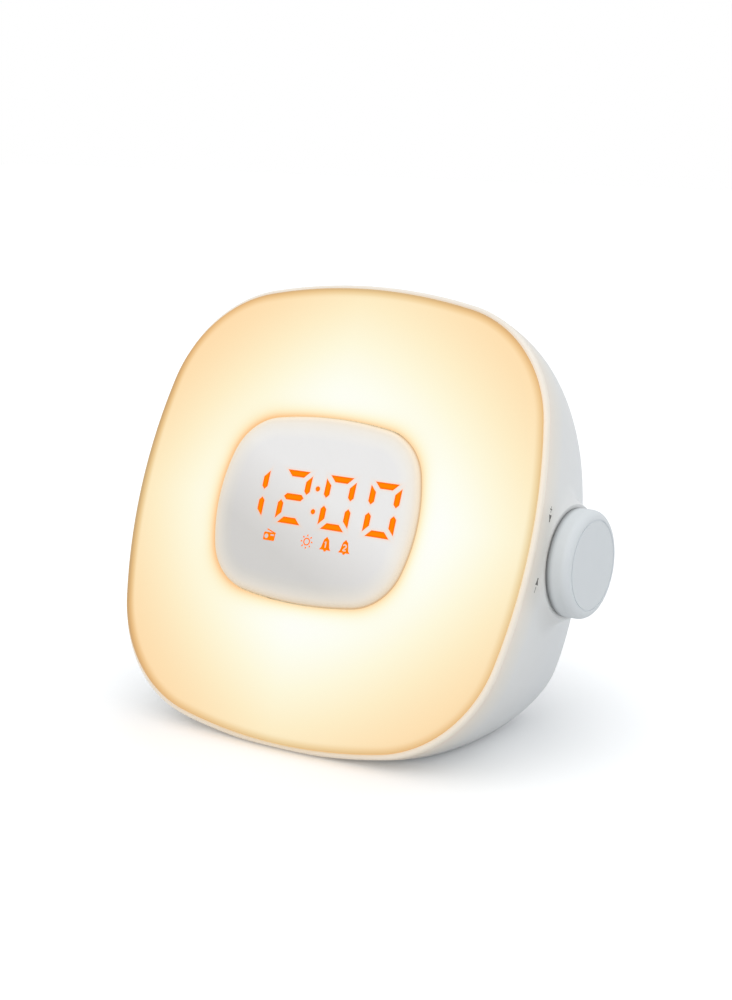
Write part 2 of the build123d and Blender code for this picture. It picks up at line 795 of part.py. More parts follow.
# ---- Light reflector: a white pan with a flange, posts and standoffs behind it ----
pan_back = reflector_depth + reflector_sheet
with BuildPart() as light_reflector:
    pan_wall = reflector_sheet
    loft(
        [
            face_outline(skirt_depth, pan_wall - reflector_mouth),
            face_outline(pan_back, pan_wall - reflector_floor_inset),
        ]
    )
    extrude(face_outline(skirt_depth, -reflector_flange), amount=-reflector_sheet)
    loft(
        [
            face_outline(skirt_depth, -reflector_mouth),
            face_outline(reflector_depth, -reflector_floor_inset),
        ],
        mode=Mode.SUBTRACT,
    )
    add(rods(behind(pan_back), post_places, post_radius, pan_back - post_depth))
    add(rods(behind(pan_back), board_holes, standoff_radius, pan_back - main_board_level))
    add(rods(behind(post_depth), post_places, large_screw + thread_gap, large_length), mode=Mode.SUBTRACT)
    add(rods(behind(main_board_level), board_holes, pilot, small_length), mode=Mode.SUBTRACT)
    add(rods(behind(pan_back), bezel_bosses, small_screw + pass_gap, pan_back), mode=Mode.SUBTRACT)
    with BuildSketch(behind(pan_back)):
        with Locations((0, ribbon_drop)):
            Rectangle(ribbon_width + ribbon_slot, ribbon_thickness + ribbon_slot)
    extrude(amount=2 * reflector_sheet, mode=Mode.SUBTRACT)
    split(bisect_by=above_floor, keep=Keep.TOP)
finish(light_reflector, "light_reflector")

with BuildPart() as light_board:
    extrude(face_outline(reflector_depth, -light_board_inset), amount=board_thickness)
    shroud_hole = display_outline(reflector_depth, light_board_hole)
    extrude(shroud_hole, amount=board_thickness, mode=Mode.SUBTRACT)
finish(light_board, "light_board")

led_path = face_outline(reflector_depth - board_thickness, -led_inset).wires()[0]
led_places = [
    Plane(origin=led_path @ (count / led_count), x_dir=(1, 0, 0), z_dir=face_normal)
    for count in range(led_count)
]
with BuildPart() as warm_leds:
    for place in led_places:
        with BuildSketch(place):
            Rectangle(led_size, led_size)
    extrude(amount=led_height)
finish(warm_leds, "warm_leds")

# ---- Main board and what is soldered to it ----
with BuildPart() as main_board:
    with BuildSketch(behind(main_board_level)):
        with Locations((0, main_board_drop)):
            Rectangle(main_board_width, main_board_height)
        with Locations(*board_holes):
            Circle(small_screw + pass_gap, mode=Mode.SUBTRACT)
    extrude(amount=-board_thickness)
finish(main_board, "main_board")

board_rear = behind(main_board_level + board_thickness)
with BuildPart() as board_components:
    # Capacitors
    with BuildSketch(board_rear):
        with Locations(*capacitor_places):
            Circle(capacitor_radius)
    extrude(amount=-capacitor_height)
    # Clock chip and radio chips
    with BuildSketch(board_rear):
        with Locations(clock_chip_place):
            Rectangle(clock_chip, clock_chip)
        with Locations(*radio_chip_places):
            Rectangle(*radio_chip)
    extrude(amount=-chip_height)
    # Coil, crystal and plug sockets
    with BuildSketch(board_rear):
        with Locations(coil_place):
            Rectangle(*coil_block)
        with Locations(crystal_place):
            Rectangle(*crystal_block)
        with Locations(*plug_places):
            Rectangle(*plug_block)
    extrude(amount=-block_height)
finish(board_components, "board_components")

# ---- Volume encoder, nut, shaft and knob ----
with BuildPart() as volume_encoder:
    with BuildSketch(knob_plane(-boss_wall)):
        Rectangle(encoder_width, encoder_height)
    extrude(amount=-encoder_depth)
    add(rods(knob_plane(-boss_wall), [(0, 0)], bushing_radius, boss_wall + bushing_length))
    shaft_bore = shaft_radius + running_gap
    bore_length = shaft_root + running_gap + boss_wall + bushing_length
    add(rods(knob_plane(bushing_length), [(0, 0)], shaft_bore, -bore_length), mode=Mode.SUBTRACT)
finish(volume_encoder, "volume_encoder")

with BuildPart() as encoder_nut:
    with BuildSketch(knob_plane(0)):
        RegularPolygon(nut_size, 6)
        Circle(bushing_radius + thread_gap, mode=Mode.SUBTRACT)
    extrude(amount=nut_height)
finish(encoder_nut, "encoder_nut")


def shaft_section(plane, gap):
    """Round shaft with one flat side, grown by a gap."""
    with BuildSketch(plane) as sheet:
        Circle(shaft_radius + gap)
        with Locations((0, shaft_radius - shaft_flat + gap)):
            upper = (Align.CENTER, Align.MIN)
            Rectangle(4 * shaft_radius, 2 * shaft_radius, align=upper, mode=Mode.SUBTRACT)
    return sheet.sketch


hub_start = bushing_length + hub_gap
with BuildPart() as encoder_shaft:
    root = boss_wall + shaft_root
    add(rods(knob_plane(-root), [(0, 0)], shaft_radius, root + hub_start))
    extrude(shaft_section(knob_plane(hub_start), 0), amount=shaft_end - hub_start)
finish(encoder_shaft, "encoder_shaft")

with BuildPart() as volume_knob:
    add(rods(knob_plane(knob_gap), [(0, 0)], knob_radius, knob_length - knob_gap))
    fillet(volume_knob.edges().group_by(Axis.X)[-1], radius=knob_round)
    with BuildSketch(knob_plane(knob_length - knob_groove)):
        Circle(knob_radius - knob_round)
        Circle(knob_radius - knob_round - knob_groove_width, mode=Mode.SUBTRACT)
    extrude(amount=knob_groove, mode=Mode.SUBTRACT)
    cavity = knob_length - knob_skin - knob_gap
    add(rods(knob_plane(knob_gap), [(0, 0)], knob_radius - knob_wall, cavity), mode=Mode.SUBTRACT)
    add(rods(knob_plane(hub_start), [(0, 0)], hub_radius, knob_length - knob_skin - hub_start))
    hub_bore = shaft_section(knob_plane(hub_start), shaft_fit)
    extrude(hub_bore, amount=shaft_end + running_gap - hub_start, mode=Mode.SUBTRACT)
finish(volume_knob, "volume_knob")

# ---- Keys on top, with the plungers that they press ----
with BuildPart() as key_tops:
    add(bowl(body_depth, key_rise))

for name, x in keys:
    level = lip_levels[name]
    with BuildPart() as key:
        extrude(key_outline(x, level, name, 0), amount=rim_half)
        add(key_tops.part, mode=Mode.INTERSECT)
        extrude(key_outline(x, level, name, key_lip), amount=-key_lip_thickness)
        stem_length = level - key_lip_thickness - plunger_top
        add(rods(key_plane(x, plunger_top), [(0, 0)], plunger_radius, stem_length))
    finish(key, f"{name}_key")
    with BuildPart() as plunger:
        plunger_foot = switch_level - plunger_root
        add(rods(key_plane(x, plunger_foot), [(0, 0)], plunger_radius, plunger_root + plunger_rise))
    finish(plunger, f"{name}_plunger")

with BuildPart() as key_switches:
    for name, x in keys:
        with BuildSketch(key_plane(x, key_board_level)):
            Rectangle(switch_size, switch_size)
        extrude(amount=switch_height)
        bore = plunger_radius + running_gap
        bore_depth = plunger_root + key_travel + running_gap
        add(rods(key_plane(x, switch_level), [(0, 0)], bore, -bore_depth), mode=Mode.SUBTRACT)
finish(key_switches, "key_switches")

with BuildPart() as key_board:
    with BuildSketch(key_plane(0, key_board_level)):
        Rectangle(2 * (key_post + key_board_margin), key_board_width)
        with Locations(*key_posts):
            Circle(small_screw + pass_gap, mode=Mode.SUBTRACT)
    extrude(amount=-board_thickness)
finish(key_board, "key_board")

# ---- Speaker behind the grille ----
speaker_centre = face_point(0, speaker_drop, speaker_seat)
speaker_axis = Axis(speaker_centre, face_normal)
speaker_half = Plane(origin=speaker_centre, x_dir=(1, 0, 0), z_dir=Vector(1, 0, 0).cross(face_normal))
flange_radius = speaker_boss_ring + speaker_boss_radius


def turned(points):
    """Ring or cup turned about the speaker's axis from half of its section."""
    with BuildPart() as ring:
        with BuildSketch(speaker_half):
            Polygon(*points, align=None)
        revolve(axis=speaker_axis)
    return ring


with BuildPart() as speaker_basket:
    neck = magnet_radius
    add(
        turned(
            [
                (speaker_radius, 0),
                (flange_radius, 0),
                (flange_radius, speaker_flange),
                (speaker_radius + basket_wall, speaker_flange),
                (neck, basket_depth),
                (neck, basket_depth + basket_wall),
                (coil_radius + fit_gap, basket_depth + basket_wall),
                (coil_radius + fit_gap, basket_depth),
                (neck - basket_wall, basket_depth),
                (speaker_radius, speaker_flange),
            ]
        ).part
    )
    ear_hole = small_screw + pass_gap
    add(rods(behind(speaker_seat), speaker_ears, ear_hole, speaker_flange), mode=Mode.SUBTRACT)
finish(speaker_basket, "speaker_basket")

cone_edge = speaker_radius - surround_width
cone_level = speaker_flange - cone_thickness
speaker_cone = turned(
    [
        (cone_edge, cone_level),
        (cone_edge, cone_level + cone_thickness),
        (coil_radius, cone_level + cone_thickness + cone_depth),
        (0, cone_level + cone_thickness + cone_depth),
        (0, cone_level + cone_depth),
        (coil_radius, cone_level + cone_depth),
    ]
)
finish(speaker_cone, "speaker_cone")

speaker_surround = turned(
    [
        (cone_edge, cone_level),
        (speaker_radius, cone_level),
        (speaker_radius, cone_level + cone_thickness),
        (cone_edge, cone_level + cone_thickness),
    ]
)
finish(speaker_surround, "speaker_surround")

magnet_start = basket_depth + basket_wall
speaker_magnet = turned(
    [
        (0, magnet_start),
        (magnet_radius, magnet_start),
        (magnet_radius, magnet_start + magnet_depth),
        (0, magnet_start + magnet_depth),
    ]
)
finish(speaker_magnet, "speaker_magnet")

speaker_gasket = turned(
    [
        (speaker_radius, -speaker_standoff),
        (speaker_radius + gasket_width, -speaker_standoff),
        (speaker_radius + gasket_width, 0),
        (speaker_radius, 0),
    ]
)
finish(speaker_gasket, "speaker_gasket")

# ---- Power socket ----
with BuildPart() as power_socket:
    add(rods(behind(body_depth), socket_spot, socket_radius, socket_depth))
    add(rods(behind(body_depth), socket_spot, socket_flange, -socket_flange_height))
    mouth = behind(body_depth + socket_flange_height)
    add(rods(mouth, socket_spot, socket_bore, socket_bore_depth), mode=Mode.SUBTRACT)
finish(power_socket, "power_socket")

with BuildPart() as socket_pin:
    pin_length = socket_bore_depth - pin_recess
    add(rods(behind(body_depth + socket_flange_height - pin_recess), socket_spot, pin_radius, pin_length))
finish(socket_pin, "socket_pin")

# ---- Backup cell: cup on the floor, cell, contact and the twist-lock door ----
cell_spot = [(0, cell_y)]
lug_foot = floor_top + lug_gap
door_top = lug_foot + lug_height
cell_foot = door_top + lug_gap
contact_foot = cell_foot + cell_height
cup_inside = door_radius + lug_reach + cup_gap
roof_foot = contact_foot + contact_thickness

with BuildPart() as battery_cup:
    cup_height = roof_foot + cup_roof - floor_top
    add(rods(from_table(floor_top), cell_spot, cup_inside + cup_wall, cup_height))
    add(rods(from_table(floor_top), cell_spot, cup_inside, roof_foot - floor_top), mode=Mode.SUBTRACT)
    collar = cell_radius + cell_gap
    add(rods(from_table(cell_foot), cell_spot, collar + cell_collar, roof_foot - cell_foot))
    add(rods(from_table(cell_foot), cell_spot, collar, roof_foot - cell_foot), mode=Mode.SUBTRACT)
finish(battery_cup, "battery_cup")

with BuildPart() as backup_cell:
    add(rods(from_table(cell_foot), cell_spot, cell_radius, cell_height))
    chamfer(backup_cell.edges().group_by(Axis.Z)[0], length=cell_gap)
finish(backup_cell, "backup_cell")

with BuildPart() as cell_contact:
    with BuildSketch(from_table(contact_foot)):
        with Locations((0, cell_y)):
            SlotOverall(2 * cell_radius, contact_width)
    extrude(amount=contact_thickness)
finish(cell_contact, "cell_contact")

with BuildPart() as battery_door:
    door_face = foot_height + door_recess
    add(rods(from_table(door_face), cell_spot, door_radius, door_top - door_face))
    with BuildSketch(from_table(lug_foot)):
        with Locations((0, cell_y)):
            with PolarLocations((door_radius + lug_reach) / 2, 3):
                Rectangle(door_radius + lug_reach, lug_width)
    extrude(amount=lug_height)
    with BuildSketch(from_table(door_face)):
        with Locations((0, cell_y)):
            SlotOverall(coin_slot_length, coin_slot_width)
    extrude(amount=coin_slot_depth, mode=Mode.SUBTRACT)
finish(battery_door, "battery_door")

# ---- Foot ring ----
with BuildPart() as foot_ring:
    extrude(foot_outline(0), amount=foot_height + foot_pocket)
    fillet(foot_ring.edges().group_by(Axis.Z)[0], radius=foot_round)
finish(foot_ring, "foot_ring")

# ---- Screws ----
housing_seat = behind(post_depth + well_seat)
housing_screws = screws(
    housing_seat, post_places, large_screw, large_length, large_head, large_head_height
)
finish(housing_screws, "housing_screws")

board_screws = small_screws(behind(main_board_level + board_thickness), board_holes)
finish(board_screws, "board_screws")

reflector_screws = small_screws(behind(skirt_depth + reflector_sheet), bezel_bosses)
finish(reflector_screws, "reflector_screws")

key_board_screws = small_screws(key_plane(0, key_board_level - board_thickness), key_posts)
finish(key_board_screws, "key_board_screws")

screw_start = face_point(0, 0, speaker_seat - speaker_flange)
flange_front = Plane(origin=screw_start, x_dir=(-1, 0, 0), z_dir=-face_normal)
mirrored_ears = [(-x, y) for x, y in speaker_ears]
speaker_screws = screws(
    flange_front, mirrored_ears, small_screw, speaker_screw_length, small_head, small_head_height
)
finish(speaker_screws, "speaker_screws")
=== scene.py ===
import math

import bpy
import numpy as np
from mathutils import Matrix, Vector


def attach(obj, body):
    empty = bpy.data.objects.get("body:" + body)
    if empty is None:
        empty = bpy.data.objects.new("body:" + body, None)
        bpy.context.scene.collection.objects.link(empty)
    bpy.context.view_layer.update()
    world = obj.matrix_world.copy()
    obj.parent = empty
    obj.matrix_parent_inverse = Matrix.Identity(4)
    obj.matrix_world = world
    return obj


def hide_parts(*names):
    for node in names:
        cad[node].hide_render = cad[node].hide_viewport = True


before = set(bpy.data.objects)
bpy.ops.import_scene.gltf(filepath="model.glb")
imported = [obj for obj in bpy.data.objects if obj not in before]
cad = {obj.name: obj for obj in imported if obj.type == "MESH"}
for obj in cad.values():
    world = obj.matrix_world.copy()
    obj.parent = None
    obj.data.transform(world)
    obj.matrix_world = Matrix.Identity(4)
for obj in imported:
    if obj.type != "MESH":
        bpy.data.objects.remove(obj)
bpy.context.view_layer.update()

mm = 0.001
scene = bpy.context.scene
print("frame loaded,", len(cad), "nodes")

# the face's own frame: its middle, and the ways right, up and out of it
face = {"lean": 22.0, "height": 83.0, "forward": 12.5}
lean = math.radians(face["lean"])
faceMiddle = np.array([0.0, -face["forward"], face["height"]])
faceRight = np.array([1.0, 0.0, 0.0])
faceUp = np.array([0.0, math.sin(lean), math.cos(lean)])
faceOut = np.array([0.0, -math.cos(lean), math.sin(lean)])


# place = middle of the face + x * right + y * up + h * out, turned from millimetres into metres
def onFace(x, y, h):
    x, y, h = np.broadcast_arrays(x, y, h)
    return (faceMiddle + x[..., None] * faceRight + y[..., None] * faceUp + h[..., None] * faceOut) * mm


# both outlines are eight arcs that run into one another: two sides, two caps and four corners
diffuserOutline = {
    "halfWidth": 87.0,
    "halfHeight": 87.0,
    "sideArc": 220.0,
    "capArc": 220.0,
    "cornerArc": 49.0,
}
displayOutline = {
    "halfWidth": 44.5,
    "halfHeight": 35.2,
    "sideArc": 63.3,
    "capArc": 158.4,
    "cornerArc": 21.6,
}


# corner centre = where circles of radius sideArc - cornerArc and capArc - cornerArc, about the centres of the
# two arcs, cross; after it come the turns at which the corner arc starts and ends
def cornerOf(line):
    sideX = line["halfWidth"] - line["sideArc"]
    capY = line["halfHeight"] - line["capArc"]
    sideReach = line["sideArc"] - line["cornerArc"]
    capReach = line["capArc"] - line["cornerArc"]
    gap = math.hypot(sideX, capY)
    along = (gap**2 + sideReach**2 - capReach**2) / (2 * gap)
    across = math.sqrt(sideReach**2 - along**2)
    x = sideX - sideX / gap * along - capY / gap * across
    y = capY / gap * along - sideX / gap * across
    return x, y, math.atan2(y, x - sideX), math.atan2(y - capY, x)


# point = arc centre + (arc radius + grow) * (cos turn, sin turn), where turn is the direction of the
# outline's normal
def outlineAt(line, turns, grow=0.0):
    cornerX, cornerY, first, last = cornerOf(line)
    folded = np.arctan2(np.abs(np.sin(turns)), np.abs(np.cos(turns)))
    spans = [folded <= first, folded >= last]
    centreX = np.select(spans, [line["halfWidth"] - line["sideArc"], 0.0], cornerX)
    centreY = np.select(spans, [0.0, line["halfHeight"] - line["capArc"]], cornerY)
    radius = np.select(spans, [line["sideArc"], line["capArc"]], line["cornerArc"]) + grow
    x = np.sign(np.cos(turns)) * (centreX + radius * np.cos(folded))
    y = np.sign(np.sin(turns)) * (centreY + radius * np.sin(folded))
    return x, y


# equal steps of length: length grows by arc radius * angle, and the turns are read back from it
def evenTurns(line, count):
    first, last = cornerOf(line)[2:]
    side = (first, line["sideArc"])
    corner = (last - first, line["cornerArc"])
    cap = (math.pi / 2 - last, line["capArc"])
    spans = [side, corner, cap, cap, corner, side] * 2
    bends = np.cumsum([0.0] + [angle for angle, radius in spans])
    lengths = np.cumsum([0.0] + [angle * radius for angle, radius in spans])
    return np.interp(np.linspace(0, lengths[-1], count, endpoint=False), lengths, bends)


# straight runs through corners, cut evenly: point = corner + share * (next corner - corner)
def runs(corners, steps=6):
    corners = np.asarray(corners, float)
    stops = np.linspace(0, len(corners) - 1, steps * (len(corners) - 1) + 1)
    return np.stack([np.interp(stops, np.arange(len(corners)), corners[:, axis]) for axis in (0, 1)], -1)


# rows by columns of points become quads: each row closes round, a ring joins its last row to its first, and a
# tip closes an end with a fan of triangles
def gridFaces(rows, columns, ring, startTip, endTip):
    row = np.arange(rows if ring else rows - 1)[:, None]
    column = np.arange(columns)[None, :]
    after = (column + 1) % columns
    below = (row + 1) % rows
    quads = [row * columns + column, row * columns + after, below * columns + after, below * columns + column]
    faces = np.stack(quads, -1).reshape(-1, 4).tolist()
    tip = rows * columns
    around = np.arange(columns)
    ahead = (around + 1) % columns
    if startTip:
        faces += np.stack([np.full(columns, tip), ahead, around], -1).tolist()
        tip += 1
    if endTip:
        last = (rows - 1) * columns
        faces += np.stack([np.full(columns, tip), last + around, last + ahead], -1).tolist()
    return faces


# one grid of points and how it closes; values holds a number for each point, under the name that a material
# reads, and a tip takes the mean of the row beside it
def gridOf(points, ring=False, startTip=None, endTip=None, values=None):
    rows, columns = points.shape[:2]
    tips = [(tip, row) for tip, row in ((startTip, 0), (endTip, rows - 1)) if tip is not None]
    corners = np.concatenate([points.reshape(-1, 3)] + [np.reshape(tip, (1, 3)) for tip, row in tips])
    faces = gridFaces(rows, columns, ring, startTip is not None, endTip is not None)
    if insideOut(corners, faces):
        faces = [corner[::-1] for corner in faces]
    values = {key: np.concatenate([np.ravel(value)] + [[value[row].mean()] for tip, row in tips])
              for key, value in (values or {}).items()}
    return corners, faces, values


# six times the volume = sum over triangles of a . (b x c) about the piece's middle, below 0 when inside out
def insideOut(corners, faces):
    fans = np.array([(corner[0], corner[step], corner[step + 1])
                     for corner in faces for step in range(1, len(corner) - 1)])
    a, b, c = (corners - corners.mean(0))[fans].transpose(1, 0, 2)
    return np.einsum("ij,ij->", a, np.cross(b, c)) < 0


# several grids make one piece, each keeping its own corners: corner = corner in its grid + the grid's start
def pieceOf(name, *grids, smooth=True):
    starts = np.cumsum([0] + [len(corners) for corners, faces, values in grids]).tolist()
    faces = []
    for start, grid in zip(starts, grids):
        faces += [[corner + start for corner in around] for around in grid[1]]
    mesh = bpy.data.meshes.new(name)
    mesh.from_pydata(np.concatenate([grid[0] for grid in grids]).tolist(), [], faces)
    mesh.polygons.foreach_set("use_smooth", np.full(len(faces), smooth))
    for key in grids[0][2]:
        whole = np.concatenate([grid[2][key] for grid in grids]).astype(np.float32)
        mesh.attributes.new(key, "FLOAT", "POINT").data.foreach_set("value", whole)
    mesh.update()
    piece = bpy.data.objects.new(name, mesh)
    scene.collection.objects.link(piece)
    return piece


# a plain shader, to which nodes are added; sockets hold what is the same all over
def newMaterial(name, colour, roughness, **sockets):
    material = bpy.data.materials.new(name)
    material.use_nodes = True
    shader = shaderOf(material)
    shader.inputs["Base Color"].default_value = (*colour, 1)
    shader.inputs["Roughness"].default_value = roughness
    for key, value in sockets.items():
        shader.inputs[key].default_value = value
    return material


def shaderOf(material):
    return material.node_tree.nodes["Principled BSDF"]


# inputs are numbers, colours or the outputs of other nodes
def addNode(material, kind, inputs=None, **settings):
    node = material.node_tree.nodes.new(kind)
    for key, value in settings.items():
        setattr(node, key, value)
    for key, value in (inputs or {}).items():
        if isinstance(value, bpy.types.NodeSocket):
            material.node_tree.links.new(value, node.inputs[key])
        else:
            node.inputs[key].default_value = value
    return node


def link(material, output, socket):
    material.node_tree.links.new(output, shaderOf(material).inputs[socket])


# linear = ((c + 0.055) / 1.055) ** 2.4 for a screen value c
def linear(red, green, blue):
    return tuple(((value / 255 + 0.055) / 1.055) ** 2.4 for value in (red, green, blue))


# result = colour * share
def scaled(colour, share):
    return tuple(share * part for part in colour)


def placeOf(material):
    return addNode(material, "ShaderNodeTexCoord").outputs["Object"]


# one of the X, Y and Z of a place on the piece
def placeAlong(material, axis):
    return addNode(material, "ShaderNodeSeparateXYZ", {"Vector": placeOf(material)}).outputs[axis]


def attributeOf(material, name):
    return addNode(material, "ShaderNodeAttribute", attribute_name=name).outputs["Fac"]


# one step of arithmetic on numbers
def numberStep(material, operation, *values):
    return addNode(material, "ShaderNodeMath", dict(enumerate(values)), operation=operation).outputs["Value"]


# the same on places, with all that comes out of it
def placeStep(material, operation, *values):
    return addNode(material, "ShaderNodeVectorMath", dict(enumerate(values)), operation=operation).outputs


# noise over patches of the given size in millimetres; pack makes it closer along an axis
def noiseOf(material, size, detail=3.0, pack=(1, 1, 1)):
    packed = addNode(material, "ShaderNodeMapping", {"Vector": placeOf(material), "Scale": pack})
    sockets = {"Vector": packed.outputs["Vector"], "Scale": 1 / (size * mm), "Detail": detail}
    return addNode(material, "ShaderNodeTexNoise", sockets).outputs["Fac"]


# waves = sine of (2 pi * value / length), with the length in millimetres
def wavesOf(material, value, length):
    turns = numberStep(material, "MULTIPLY", value, 2 * math.pi / (length * mm))
    return numberStep(material, "SINE", turns)


# colour along a factor from 0 to 1, through the given stops
def ramp(material, factor, stops):
    node = addNode(material, "ShaderNodeValToRGB", {"Fac": factor})
    elements = node.color_ramp.elements
    while len(elements) < len(stops):
        elements.new(0.5)
    for element, (place, colour) in zip(elements, stops):
        element.position = place
        element.color = (*colour, 1)
    return node.outputs["Color"]


# result = a * (1 - factor) + b * factor, or a * b with MULTIPLY at a factor of 1
def mixColours(material, factor, a, b, blend="MIX"):
    node = addNode(material, "ShaderNodeMix", data_type="RGBA", blend_type=blend)
    for place, value in ((0, factor), (6, a), (7, b)):
        if isinstance(value, bpy.types.NodeSocket):
            material.node_tree.links.new(value, node.inputs[place])
        else:
            node.inputs[place].default_value = value if place == 0 else (*value, 1)
    return node.outputs[2]


# result = low + (high - low) * (value - start) / (end - start)
def spread(material, value, low, high, start=0.0, end=1.0):
    sockets = {"Value": value, "From Min": start, "From Max": end, "To Min": low, "To Max": high}
    return addNode(material, "ShaderNodeMapRange", sockets).outputs["Result"]


# surface leans by strength * slope of (height * depth)
def bump(material, height, strength, depth=0.02):
    sockets = {"Height": height, "Strength": strength, "Distance": depth * mm}
    link(material, addNode(material, "ShaderNodeBump", sockets).outputs["Normal"], "Normal")


# patches on a moulding are so many grains wide, and change between these two levels of the noise
mottling = {"grains": 40, "detail": 2.0, "low": 0.3, "high": 0.7}


# A moulded surface: spark-eroded grain, patches a little glossier or duller, and a colour that varies by a
# few parts in a hundred; colour is a fixed one or the output of a node
def mould(material, colour, roughness, grain=0.35, strength=0.2, gloss=0.08, mottle=0.03):
    patches = noiseOf(material, mottling["grains"] * grain, mottling["detail"])
    shade = ramp(material, patches, [(mottling["low"], (1 - mottle,) * 3), (mottling["high"], (1.0,) * 3)])
    link(material, mixColours(material, 1.0, colour, shade, "MULTIPLY"), "Base Color")
    link(material, spread(material, patches, roughness - gloss / 2, roughness + gloss / 2), "Roughness")
    bump(material, noiseOf(material, grain), strength)
    return material


def plastic(name, colour, roughness=0.5, **texture):
    return mould(newMaterial(name, colour, roughness), colour, roughness, **texture)


def paint(material, *names):
    for name in names:
        cad[name].data.materials.clear()
        cad[name].data.materials.append(material)


# a new piece gets its material, the body it rides on and the nodes whose place it takes; its slot is not used
def dress(piece, material, body, slot=None, *replaced):
    piece.data.materials.clear()
    piece.data.materials.append(material)
    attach(piece, body)
    if replaced:
        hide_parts(*replaced)


# the diffuser is a domed opal ring with a rounded shoulder, from the display's hole to the bezel
diffuser = {
    "peak": 8.1,
    "dome": 1150.0,
    "shoulder": 4.0,
    "wall": 2.0,
    "seat": -1.5,
    "holeGap": 0.35,
    "lip": 0.5,
    "around": 400,
    "across": 56,
    "behind": 8,
    "roundSteps": 12,
    "shadeLeft": 1.0,  # how much painted shade the shoulder takes where it looks left, and elsewhere
    "shadeElsewhere": 0.6,
    "shadeTop": 0.8,  # looking up counts this much of looking left
    "shadeStart": 0.05,  # share of the bend where the shade starts, and what looking right, up and up left adds
    "fromRight": 0.42,
    "fromUp": -0.1,
    "fromUpLeft": 0.2,
    "shadeSpan": 0.62,
    "glow": 0.825,
    "gleam": 0.03,
    "ownDark": 0.8,  # how far its own colour is from its light towards black
    "rough": 0.42,
    "roughVary": 0.03,
    "patch": 12,
    "grain": 0.5,
    "grainHeight": 0.08,
    "body": (255, 236, 205),
    "light": [  # screen colours from the darkest place to the brightest
        (0.0, (250, 192, 130)),
        (0.24, (255, 212, 160)),
        (0.40, (255, 226, 180)),
        (0.56, (255, 239, 200)),
        (0.72, (255, 249, 220)),
        (0.88, (255, 255, 240)),
        (1.0, (255, 255, 252)),
    ],
    "shoulderShade": [  # what the light is multiplied by on the shoulder: the lamp's own falloff, deepened by painted shade
        (0.0, (1.0, 1.0, 1.0)),
        (0.3, (0.90, 0.825, 0.71)),
        (0.6, (0.79, 0.665, 0.50)),
        (1.0, (0.57, 0.475, 0.36)),
    ],
}

# the lamp behind the diffuser, as levels on a screen
lamp = {
    "base": 160.0,
    "rise": 113.0,
    "tiltX": 0.25,
    "tiltY": -0.044,
    "reachX": 84.0,
    "reachY": 79.5,
    "power": 1.456,
    "fall": 2.46,
    "halo": 88.0,
    "haloReach": 2.5,
    "lowest": 130.0,
    "highest": 255.0,
}


# level = base + rise * (1 + tilt . place) * exp(-q ** fall) - halo * exp(-distance / haloReach), with
# q = (|x / reachX| ** power + |y / reachY| ** power) ** (1 / power); glow = its share from lowest to highest
def lampGlow(x, y, distance):
    power = lamp["power"]
    q = (np.abs(x / lamp["reachX"]) ** power + np.abs(y / lamp["reachY"]) ** power) ** (1 / power)
    tilt = 1 + (lamp["tiltX"] * x + lamp["tiltY"] * y) / diffuserOutline["halfWidth"]
    level = lamp["base"] + lamp["rise"] * tilt * np.exp(-q ** lamp["fall"])
    level = level - lamp["halo"] * np.exp(-distance / lamp["haloReach"])
    return (level - lamp["lowest"]) / (lamp["highest"] - lamp["lowest"])


# height = peak - (dome - sqrt(dome ** 2 - x ** 2 - y ** 2))
def domeHeight(x, y, peak):
    return peak - diffuser["dome"] + np.sqrt(diffuser["dome"] ** 2 - x**2 - y**2)


# shade = amount * clip((bend - start) / shadeSpan): amount and start change with the way the shoulder looks,
# and bend is the share of its quarter turn, or below 0 ahead of it; painted shade, deepest looking left and
# up
def shoulderShadeAt(turns, bend):
    across, upward = np.cos(turns), np.sin(turns)
    leftward = np.maximum(-across, 0)
    start = diffuser["shadeStart"] + diffuser["fromRight"] * across + diffuser["fromUp"] * upward
    start = start + diffuser["fromUpLeft"] * upward * leftward
    away = np.clip(np.maximum(-across, diffuser["shadeTop"] * upward), 0, 1)
    amount = diffuser["shadeElsewhere"] + (diffuser["shadeLeft"] - diffuser["shadeElsewhere"]) * away**2
    return amount * np.clip((bend - start) / diffuser["shadeSpan"], 0, 1)


